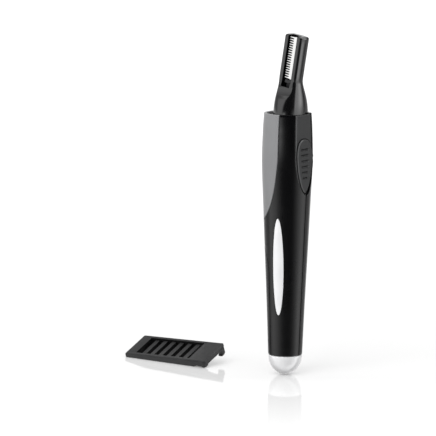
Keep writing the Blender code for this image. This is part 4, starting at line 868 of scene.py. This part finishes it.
# Head
# One hollow moulding in polished black plastic, pushed into the collar. It narrows from an oval foot to a slim
# leaning tip, and its blade side is flat, so that the flat ends in an arch where it meets the rounder foot.
HEAD_BLACK = ((0.0014, 0.0014, 0.0017), (0.0024, 0.0024, 0.0028))
NECK = Vector((0, -0.0015, 0.122))
LEAN = radians(9.5)
HEAD_LENGTH = 0.0186
HEAD_THICKNESS = 0.0065
HEAD_WIDTH = 0.0092
HEAD_CORNER = 0.0011
TIP_ROUND = 0.0009
HEAD_FOOT = 0.1031
SHOULDER_Z = 0.104
FOOT_THICKNESS = 0.0160
FOOT_Y = (-0.0072, 0.0043)
FOOT_CORNER = 0.0047
HEAD_WALL = 0.0011
FLARE_POWER = 1.85
# How many rings the flare, the straight tip and the tip's rounding are lofted over.
FLARE_RINGS, TIP_RINGS, ROUND_RINGS = 24, 8, 6
CAVITY_TOP = 0.1165
SLOT_HALF_WIDTH = 0.00225
SLOT_FLOOR_X = 0.0002
SLOT_BOTTOM = -0.0027
ROD_CHANNEL = (-0.0019, 0.0016, -0.0092)
CORNER_POINTS = 13
SIDE_POINTS = 10
SIDE_CROWN = radians(15)
# The flat of the blade's side, in (x, z), runs on below the neck as a shallow scoop that ends in the arch.
SCOOP_CURVE = bezier((-0.0075, 0.1137), (-0.0058, 0.1153), (-0.0036, 0.1182), (-0.0033, 0.1222), 40)
SCOOP_OUTSIDE = [(-0.012, 0.1222), (-0.012, 0.1137)]
HEAD_FRAME = Matrix.Translation(NECK) @ Matrix.Rotation(LEAN, 4, "X")


def rounded_ring(bm, half_x, low_y, high_y, corner, height, place=Matrix()):
    """A level rounded rectangle, from a circle whose points are moved. Each side but the blade's is a shallow arc."""
    crown = SIDE_CROWN
    rise = (half_x - corner) * tan(crown / 2)
    low_y, high_y, far_x = low_y + rise, high_y - rise, half_x - (high_y - low_y - 2 * corner) / 2 * tan(crown / 2)
    points = []
    for (sx, sy, x, y), before, after in (
        ((1, 1, far_x, high_y), crown, crown),
        ((-1, 1, half_x, high_y), crown, 0.0),
        ((-1, -1, half_x, low_y), 0.0, crown),
        ((1, -1, far_x, low_y), crown, crown),
    ):
        start = atan2(sy, sx) - pi / 4
        for step in range(CORNER_POINTS):
            angle = start + before + (pi / 2 - before - after) * step / (CORNER_POINTS - 1)
            points.append(Vector((sx * (x - corner) + corner * cos(angle), y - sy * corner + corner * sin(angle))))
    outline = []
    for index, point in enumerate(points):
        outline.append(point)
        following = points[(index + 1) % len(points)]
        if index % CORNER_POINTS == CORNER_POINTS - 1 and index // CORNER_POINTS != 1:
            step = following - point
            out = Vector((step.y, -step.x))
            for share in (part / SIDE_POINTS for part in range(1, SIDE_POINTS)):
                outline.append(point + step * share + out * (2 * share * (1 - share) * tan(crown / 2)))
    ring = bmesh.ops.create_circle(bm, cap_ends=False, segments=len(outline), radius=1.0)["verts"]
    for corner_point, point in zip(ring, outline):
        corner_point.co = place @ Vector((*point, height))
    return list(dict.fromkeys(edge for corner_point in ring for edge in corner_point.link_edges))


def flare_ring(bm, height, inset=0.0):
    """A ring of the flare, which narrows smoothly from the oval foot to the neck."""
    share = min(max((height - SHOULDER_Z) / (NECK.z - SHOULDER_Z), 0.0), 1.0) ** FLARE_POWER
    blend = share * share * (3 - 2 * share)

    def between(low, high):
        return low + (high - low) * blend

    half_x = between(FOOT_THICKNESS, HEAD_THICKNESS) / 2 - inset
    front = between(FOOT_Y[0], NECK.y - HEAD_WIDTH / 2) + inset
    back = between(FOOT_Y[1], NECK.y + HEAD_WIDTH / 2) - inset
    return rounded_ring(bm, half_x, front, back, between(FOOT_CORNER, HEAD_CORNER) - inset / 2, height)


def tip_ring(bm, length, inset=0.0):
    """A ring of the straight leaning tip, at a length from the neck."""
    half_x, half_y = HEAD_THICKNESS / 2 - inset, HEAD_WIDTH / 2 - inset
    return rounded_ring(bm, half_x, -half_y, half_y, HEAD_CORNER - inset / 2, length, HEAD_FRAME)


def joined(bm, loops):
    """A closed form lofted over rings."""
    for lower, upper in zip(loops, loops[1:]):
        bmesh.ops.bridge_loops(bm, edges=lower + upper)
    bmesh.ops.holes_fill(bm, edges=loops[0] + loops[-1])
    bmesh.ops.recalc_face_normals(bm, faces=bm.faces[:])
    return bm


def cut_from_head(low, high, name):
    """Cuts a block, given in the head's own leaning frame, from the head."""
    bm = bmesh.new()
    bmesh.ops.create_cube(bm, size=1.0)
    for corner in bm.verts:
        corner.co = Vector(high[i] if corner.co[i] > 0 else low[i] for i in range(3))
    carve(head, closed_piece(bm, HEAD_FRAME, name))


head_black = moulded(
    "polished_head_plastic", HEAD_BLACK, (0.12, 0.18), grain=1500.0, depth=0.0000012, dust=BLACK_DUST, specular=0.95
)
solid = bmesh.new()
loops = [flare_ring(solid, HEAD_FOOT), flare_ring(solid, SHOULDER_Z)]
for index in range(1, FLARE_RINGS):
    loops.append(flare_ring(solid, SHOULDER_Z + (NECK.z - SHOULDER_Z) * index / FLARE_RINGS))
for index in range(TIP_RINGS + 1):
    loops.append(tip_ring(solid, TIP_ROUND + (HEAD_LENGTH - 2 * TIP_ROUND) * index / TIP_RINGS))
for turn in quarter_turn(ROUND_RINGS)[1:]:
    loops.append(tip_ring(solid, HEAD_LENGTH - TIP_ROUND * (1 - sin(turn)), TIP_ROUND * (1 - cos(turn))))
head = piece_from(joined(solid, loops), "head_moulding", head_black)
hollow = bmesh.new()
inside_levels = (HEAD_FOOT - SHELL_WALL, SHOULDER_Z, (SHOULDER_Z + CAVITY_TOP) / 2, CAVITY_TOP)
inside_loops = [flare_ring(hollow, height, HEAD_WALL) for height in inside_levels]
carve(head, piece_from(joined(hollow, inside_loops), "cavity"))
slot_low = (-HEAD_THICKNESS, -SLOT_HALF_WIDTH, SLOT_BOTTOM)
cut_from_head(slot_low, (SLOT_FLOOR_X, SLOT_HALF_WIDTH, 2 * HEAD_LENGTH), "slot")
channel_x, channel_half, channel_low = ROD_CHANNEL
channel_high = (SLOT_FLOOR_X, channel_half, SLOT_BOTTOM + SEAM)
cut_from_head((channel_x, -channel_half, channel_low), channel_high, "rod_channel")
carve(head, slab(SCOOP_CURVE + SCOOP_OUTSIDE, -HEAD_WIDTH, HEAD_WIDTH, OUT_OF_FRONT, "arch_scoop"))
settle(head, sharp=25)
put(head, "trimmer", "black_gloss", "head_housing")


# Blades and carrier
# The toothed guard and the cutter behind it are stamped from stainless strip and ground on their faces. The guard is
# pressed into the slot, and the cutter clips to a dark grey carrier that the drum shakes up and down.
GROUND_STEEL = ((0.78, 0.78, 0.77), (0.92, 0.92, 0.91))
BLADE_LENGTH = 0.0176
BLADE_BOTTOM = 0.0008
BLADE_THICKNESS = 0.0003
BLADE_INSET = 0.0001
RUNNING_GAP = 0.00015
SPINE_WIDTH = 0.0014
TOOTH_LENGTH = 0.0019
TOOTH_COUNT = 18
# Shares of the teeth's pitch: half of a tooth at its root, and its blunt tip.
TOOTH_ROOT = 0.275
TOOTH_TIP = 0.14
BLADE_EDGE = 0.00003
CARRIER_GREY = ((0.014, 0.014, 0.015), (0.02, 0.02, 0.0215))
# Turns (across the blade, along it, out of its back) into the head's frame.
OUT_OF_BLADE = Matrix(((0, 0, 1, 0), (1, 0, 0, 0), (0, 1, 0, 0), (0, 0, 0, 1)))
ground_steel = metal("ground_stainless", GROUND_STEEL, (0.16, 0.3), across=9000.0, along=1400.0, depth=0.000002)
edge_u = -SLOT_HALF_WIDTH + RUNNING_GAP
spine_u = edge_u + SPINE_WIDTH
tip_u = spine_u + TOOTH_LENGTH
pitch = BLADE_LENGTH / TOOTH_COUNT
root, end = pitch * TOOTH_ROOT, pitch * TOOTH_TIP
outline = [(edge_u, BLADE_BOTTOM)]
for index in range(TOOTH_COUNT):
    middle = BLADE_BOTTOM + pitch * (index + 0.5)
    outline += [(spine_u, middle - root), (tip_u - end, middle - end), (tip_u, middle)]
    outline += [(tip_u - end, middle + end), (spine_u, middle + root)]
outline += [(edge_u, BLADE_BOTTOM + BLADE_LENGTH)]
face_x = -HEAD_THICKNESS / 2 + BLADE_INSET
back_x = face_x + BLADE_THICKNESS
guard = slab(outline, face_x, back_x, HEAD_FRAME @ OUT_OF_BLADE, "guard_blade", ground_steel)
settle(rounded(guard, BLADE_EDGE, segments=1, angle=20), sharp=20)
put(guard, "trimmer", "bright_steel", "fixed_blade")
dress(ground_steel, "moving_blade")
dress(moulded("grey_carrier_plastic", CARRIER_GREY, (0.4, 0.5)), "blade_carrier")


# Guide comb
# A separate clip-on comb in fine matt black plastic. Six bars cross the window in its plate, cheeks run down its long
# sides, and two rounded lugs at its open end spring over the head.
COMB_BLACK = ((0.0135, 0.0135, 0.0142), (0.0175, 0.0175, 0.0182))
# Painted shade: a near-black, matt and dull plastic for the walls in the window and the inside of the channel.
RECESS_SHADE_BLACK = ((0.0035, 0.0035, 0.0037), (0.005, 0.005, 0.0053))
# Where its plate's blank near corner stands, and how far it is turned, pitched and tilted from lying flat.
COMB_PLACE = (-0.01668, 0.0725, 0.0016)
COMB_YAW = radians(3.9)
COMB_PITCH = radians(1.8)
COMB_TILT = radians(20.8)
COMB_LENGTH = 0.0411
COMB_WIDTH = 0.0160
COMB_PLATE = 0.0012
COMB_RAIL = 0.0014
COMB_CORNER = 0.0009
COMB_EDGE = 0.0006
COMB_EDGE_STEPS = 5
COMB_BEVEL = 0.00012
COMB_DEPTH = 0.0105
WINDOW = (0.0050, 0.0323, 0.0018, 0.0142)
SMALL_CORNER = 0.0003
BAR_COUNT = 6
BAR_FIRST = 0.0079
BAR_PITCH = 0.0042
BAR_HALF = 0.00105
BAR_DROP = 0.0010
BAR_DEPTH = 0.0026
# The radius of the rounded edges of bars and hooks, and its steps.
BAR_EDGE = (0.0002, 3)
# Each cheek is cut away from its reach along the comb, below a drop under the plate's face.
NEAR_REACH = 0.0352
NEAR_DROP = 0.0023
FAR_REACH = 0.0300
FAR_DROP = 0.00114
# The lip under the open end, by its two distances from the end and its depth.
END_LIP = (0.0021, 0.0004, 0.0025)
LUG_RADIUS = 0.0014
LUG_STEPS = 8
LUG_SEGMENTS = 32
LUG_DEPTHS = (("near", 0.0034, 0.0012), ("far", 0.0053, COMB_WIDTH - 0.0012))
# Shares of a lug's radius from the comb's end: the lug's middle, and the two sides of its hook.
LUG_SET_BACK = 1.04
HOOK_SPAN = (1.7, 0.3)
HOOK_HEIGHT = 0.0007
HOOK_REACH = 0.0003
FLOOR_CUT = 0.1
# A face counts as upright while its normal rises less than this.
UPRIGHT = 0.5

heading = Vector((sin(COMB_YAW), -cos(COMB_YAW), 0))
along = heading * cos(COMB_PITCH) + Vector((0, 0, sin(COMB_PITCH)))
level = Vector((cos(COMB_YAW), sin(COMB_YAW), 0))
across = level * cos(COMB_TILT) + along.cross(level) * sin(COMB_TILT)
COMB_FRAME = axes_at(COMB_PLACE, along, across, along.cross(across))


def rounded_rectangle(low_x, high_x, low_y, high_y, radius, steps=6):
    points = []
    corners = ((low_x, low_y, 1, 1), (high_x, low_y, -1, 1), (high_x, high_y, -1, -1), (low_x, high_y, 1, -1))
    for index, (x, y, sx, sy) in enumerate(corners):
        for turn in quarter_turn(steps):
            angle = pi + pi / 2 * index + turn
            points.append((x + sx * radius + radius * cos(angle), y + sy * radius + radius * sin(angle)))
    return points


comb_black = moulded("matt_black_plastic", COMB_BLACK, (0.46, 0.56), grain=5200.0, depth=0.00001, drift=140.0)
plan = rounded_rectangle(0, COMB_LENGTH, 0, COMB_WIDTH, COMB_CORNER)
comb = slab(plan, -COMB_DEPTH, 0.0, COMB_FRAME, "guide_comb_moulding", comb_black, COMB_EDGE, COMB_EDGE_STEPS)
inside = rectangle(COMB_RAIL, 2 * COMB_LENGTH, COMB_RAIL, COMB_WIDTH - COMB_RAIL)
carve(comb, slab(inside, -2 * COMB_DEPTH, -COMB_PLATE, COMB_FRAME, "comb_channel"))
window = rounded_rectangle(*WINDOW, SMALL_CORNER, steps=3)
carve(comb, slab(window, -COMB_DEPTH, COMB_PLATE, COMB_FRAME, "comb_window"))
for index in range(BAR_COUNT):
    middle = BAR_FIRST + BAR_PITCH * index
    bar = rectangle(middle - BAR_HALF, middle + BAR_HALF, COMB_RAIL / 2, COMB_WIDTH - COMB_RAIL / 2)
    low, high = -BAR_DROP - BAR_DEPTH, -BAR_DROP
    carve(comb, slab(bar, low, high, COMB_FRAME, f"comb_bar_{index}", comb_black, *BAR_EDGE), "UNION")
for name, start, low_y, high_y, drop in (
    ("near", NEAR_REACH, -COMB_WIDTH, COMB_WIDTH / 2, NEAR_DROP),
    ("far", FAR_REACH, COMB_WIDTH / 2, 2 * COMB_WIDTH, FAR_DROP),
):
    notch = rectangle(start, 2 * COMB_LENGTH, low_y, high_y)
    carve(comb, slab(notch, -2 * COMB_DEPTH, -drop, COMB_FRAME, f"{name}_notch"))
back, front, depth = END_LIP
lip = rectangle(COMB_LENGTH - back, COMB_LENGTH - front, COMB_RAIL / 2, COMB_WIDTH - COMB_RAIL / 2)
carve(comb, slab(lip, -depth, -COMB_PLATE / 2, COMB_FRAME, "comb_end_lip", comb_black), "UNION")
hook_back, hook_front = (COMB_LENGTH - share * LUG_RADIUS for share in HOOK_SPAN)
turns = quarter_turn(LUG_STEPS)
for name, depth, y in LUG_DEPTHS:
    profile = [(LUG_RADIUS * sin(turn), -depth + LUG_RADIUS * (1 - cos(turn))) for turn in turns]
    profile += [(LUG_RADIUS, -COMB_EDGE / 2), (0, -COMB_EDGE / 2)]
    post = Matrix.Translation((COMB_LENGTH - LUG_SET_BACK * LUG_RADIUS, y, 0))
    carve(comb, spun(profile, f"{name}_lug", comb_black, LUG_SEGMENTS, COMB_FRAME @ post), "UNION")
    inward = 1 if name == "near" else -1
    low_y, high_y = sorted((y, y + inward * (LUG_RADIUS + HOOK_REACH)))
    hook = rounded_rectangle(hook_back, hook_front, low_y, high_y, SMALL_CORNER)
    low = -depth + HOOK_REACH
    carve(comb, slab(hook, low, low + HOOK_HEIGHT, COMB_FRAME, f"{name}_hook", comb_black, *BAR_EDGE), "UNION")
# Nothing of the comb stands below the floor.
below = rectangle(-FLOOR_CUT, FLOOR_CUT, -FLOOR_CUT, FLOOR_CUT)
under_comb = Matrix.Translation((0, COMB_PLACE[1], 0))
carve(comb, slab(below, -FLOOR_CUT, 0.0, under_comb, "comb_floor_cut"))
# Painted shade: the window's upright walls and the channel's inside, up to the far notch, take the near-black
# plastic.
comb.data.materials.append(moulded("comb_painted_recess_shade", RECESS_SHADE_BLACK, (0.7, 0.8), grain=5200.0, specular=0.1))
to_comb = COMB_FRAME.inverted()
low_x, high_x, low_y, high_y = WINDOW
for face in comb.data.polygons:
    middle = to_comb @ face.center
    upright = abs((to_comb.to_3x3() @ face.normal).z) < UPRIGHT
    in_window = low_x - SEAM < middle.x < high_x + SEAM and low_y - SEAM < middle.y < high_y + SEAM
    in_channel = COMB_RAIL / 2 < middle.y < COMB_WIDTH - COMB_RAIL / 2 and middle.z < -COMB_PLATE + MERGE
    if (in_window and upright) or (in_channel and middle.x < FAR_REACH):
        face.material_index = 1
settle(rounded(comb, COMB_BEVEL, segments=2, angle=50))
put(comb, "comb", "matte_black", "guide_comb")


# Floor, light and camera
# A pale glossy table in front of a white ground, a soft box at the left and a weaker one at the right, and a long
# lens at the photograph's angle.
FLOOR_SHADER = {"Base Color": (0.5, 0.5, 0.5, 1), "Emission Color": (1, 1, 1, 1), "Roughness": 0.05, "IOR": 1.2}
# How strongly the table's white is made up, by the distance behind the trimmer: a slow rise over the whole table, and
# an extra lift in front of the trimmer, which lets its mirror image fade out.
FLOOR_LIFTS = ((-0.1, 1.7, 0.18, 0.28), (-0.1, -0.008, 0.26, 0.0))
FLOOR_SIZE = 3.0
CAMERA_AZIMUTH = radians(-52)
CAMERA_ELEVATION = radians(8.758)
CAMERA_DISTANCE = 1.2
CAMERA_ROLL = radians(0.456)
CAMERA_TARGET_Z = 0.0648
CAMERA_SHIFT = -0.02813
CAMERA_CLIP = 0.05
LENS = 241.87
SENSOR = 36.0


def direction(azimuth, elevation):
    """The way from the trimmer to a place round it. Azimuth 0 is the thumb switch's side."""
    return Vector((sin(azimuth) * cos(elevation), -cos(azimuth) * cos(elevation), sin(elevation)))


toward = direction(CAMERA_AZIMUTH, CAMERA_ELEVATION)
right = Vector((cos(CAMERA_AZIMUTH), sin(CAMERA_AZIMUTH), 0))
upward = toward.cross(right)
target = Vector((0, 0, CAMERA_TARGET_Z)) + right * CAMERA_SHIFT
camera_right = right * cos(CAMERA_ROLL) + upward * sin(CAMERA_ROLL)
camera_up = upward * cos(CAMERA_ROLL) - right * sin(CAMERA_ROLL)
camera_data = bpy.data.cameras.new("camera")
camera_data.lens = LENS
camera_data.sensor_width = SENSOR
camera_data.clip_start = CAMERA_CLIP
camera = in_scene("camera", camera_data)
camera.matrix_world = axes_at(target + toward * CAMERA_DISTANCE, camera_right, camera_up, toward)
bpy.context.scene.camera = camera


def pointing(tree, source, axis):
    """How far a place or a direction lies along an axis."""
    node = tree.nodes.new("ShaderNodeVectorMath")
    node.operation = "DOT_PRODUCT"
    node.inputs[1].default_value = axis
    tree.links.new(source, node.inputs[0])
    return node.outputs["Value"]


def floor_look():
    """A pale glossy table. Its reflection comes from the shader, and the rest of its white is made up by emission."""
    look = bpy.data.materials.new("pale_table")
    look.use_nodes = True
    tree = look.node_tree
    inputs = set_values(tree.nodes["Principled BSDF"], FLOOR_SHADER).inputs
    path = tree.nodes.new("ShaderNodeLightPath")
    place = tree.nodes.new("ShaderNodeTexCoord")
    behind = pointing(tree, place.outputs["Object"], -toward)
    lift = computed(tree, "ADD", *(ranged(tree, behind, *limits) for limits in FLOOR_LIFTS))
    tree.links.new(computed(tree, "MULTIPLY", path.outputs["Is Camera Ray"], lift), inputs["Emission Strength"])
    return look


table = bmesh.new()
bmesh.ops.create_grid(table, x_segments=8, y_segments=8, size=FLOOR_SIZE)
floor = piece_from(table, "table", floor_look())
floor.visible_glossy = False

LAMP_DISTANCE = 6.0
LAMP_AIM = Vector((0, 0, 0.07))
# Each lamp's azimuth, elevation, side and radiance.
SOFT_BOXES = (("key_box", -90, 40, 4.2, 3.5), ("fill_box", -34, 42, 3.6, 1.3))
for name, azimuth, elevation, side, radiance in SOFT_BOXES:
    data = bpy.data.lights.new(name, "AREA")
    data.size = side
    data.energy = radiance * pi * side * side
    lamp = in_scene(name, data)
    away = direction(radians(azimuth), radians(elevation))
    lamp.location = LAMP_AIM + away * LAMP_DISTANCE
    lamp.rotation_mode = "QUATERNION"
    lamp.rotation_quaternion = (-away).to_track_quat("-Z", "Y")
    lamp.visible_glossy = False

# Seen in gloss, the studio is dark behind the camera, with a bright wall at either side and white behind the trimmer.
# Low and high parts of it have narrow strip lights, which the leaning head picks up. Each row below is a share of the
# way from behind the trimmer to the camera, and the brightness there.
GLOSS_WALLS = (
    (0.0, 1.0), (0.047, 0.9), (0.117, 0.45), (0.289, 0.4), (0.379, 0.5), (0.439, 1.1), (0.5, 1.3), (0.629, 1.15),
    (0.735, 1.0), (0.828, 0.5), (0.91, 0.1), (1.0, 0.03),
)
LOW_STRIPS = (
    (0.0, 1.0), (0.07, 0.9), (0.15, 1.1), (0.22, 0.9), (0.27, 0.2), (0.34, 0.05), (0.4, 0.6), (0.45, 1.9),
    (0.52, 2.4), (0.59, 2.0), (0.65, 1.0), (0.72, 0.3), (0.85, 0.03), (1.0, 0.02),
)
HIGH_STRIPS = (
    (0.0, 1.3), (0.035, 1.15), (0.08, 0.75), (0.14, 0.6), (0.2, 0.4), (0.25, 0.1), (0.29, 0.15), (0.34, 1.4),
    (0.4, 2.6), (0.46, 2.6), (0.52, 1.8), (0.57, 1.7), (0.61, 1.9), (0.64, 0.9), (0.68, 0.1), (1.0, 0.02),
)
LEFT_MIDDLE = (
    (0.0, 1.0), (0.5, 1.2), (0.63, 1.15), (0.735, 1.1), (0.828, 1.3), (0.875, 2.0), (0.9, 2.1), (0.927, 1.4),
    (0.948, 0.8), (0.965, 0.45), (0.979, 0.22), (0.989, 0.1), (1.0, 0.03),
)
LEFT_HIGH = (
    (0.0, 1.3), (0.06, 1.1), (0.2, 0.4), (0.45, 0.45), (0.54, 0.6), (0.6, 1.1), (0.65, 1.15), (0.7, 1.1),
    (0.76, 0.8), (0.8, 0.4), (0.83, 0.12), (0.88, 0.03), (1.0, 0.02),
)
# Where one part passes into the next, from straight down, -1, to straight up, 1, and last from left to right.
LOW_EDGE = (-0.3, -0.25)
HIGH_EDGE = (-0.12, -0.02)
MIDDLE_EDGE = (-0.13, -0.07)
LEFT_HIGH_EDGE = (0.0, 0.05)
RIGHT_EDGE = (0.0, 0.2)
# The light of the sky on rough surfaces: two heights, and the brightness at each.
SKY_DIFFUSE = (-0.1, 0.9, 0.4, 1.3)


def wall_ramp(stops):
    """A ramp of the wall's brightness from behind the trimmer to the camera."""
    node = studio.nodes.new("ShaderNodeValToRGB")
    while len(node.color_ramp.elements) < len(stops):
        node.color_ramp.elements.new(0.5)
    for stop, (position, value) in zip(node.color_ramp.elements, stops):
        stop.position = position
        stop.color = (value, value, value, 1.0)
    studio.links.new(share, node.inputs["Fac"])
    return node.outputs["Color"]


def passing(source, limits, first, second):
    """One part of the room that passes into another between two limits."""
    return mixed(studio, ranged(studio, source, *limits, 0.0, 1.0), first, second)


world = bpy.data.worlds.new("studio")
bpy.context.scene.world = world
world.use_nodes = True
studio = world.node_tree
place = studio.nodes.new("ShaderNodeTexCoord").outputs["Generated"]
split = studio.nodes.new("ShaderNodeSeparateXYZ")
studio.links.new(place, split.inputs["Vector"])
height = split.outputs["Z"]
share = ranged(studio, pointing(studio, place, toward), -1.0, 1.0, 0.0, 1.0)
walls = wall_ramp(GLOSS_WALLS)
low_part = passing(height, LOW_EDGE, wall_ramp(LOW_STRIPS), walls)
strips = passing(height, HIGH_EDGE, low_part, wall_ramp(HIGH_STRIPS))
left_side = passing(height, MIDDLE_EDGE, walls, wall_ramp(LEFT_MIDDLE))
left_side = passing(height, LEFT_HIGH_EDGE, left_side, wall_ramp(LEFT_HIGH))
mirrored_room = passing(pointing(studio, place, right), RIGHT_EDGE, left_side, strips)
path = studio.nodes.new("ShaderNodeLightPath")
lit = mixed(studio, path.outputs["Is Glossy Ray"], ranged(studio, height, *SKY_DIFFUSE), mirrored_room)
seen = mixed(studio, path.outputs["Is Camera Ray"], lit, (1.0, 1.0, 1.0))
studio.links.new(seen, studio.nodes["Background"].inputs["Color"])
bpy.context.scene.view_settings.view_transform = "Standard"
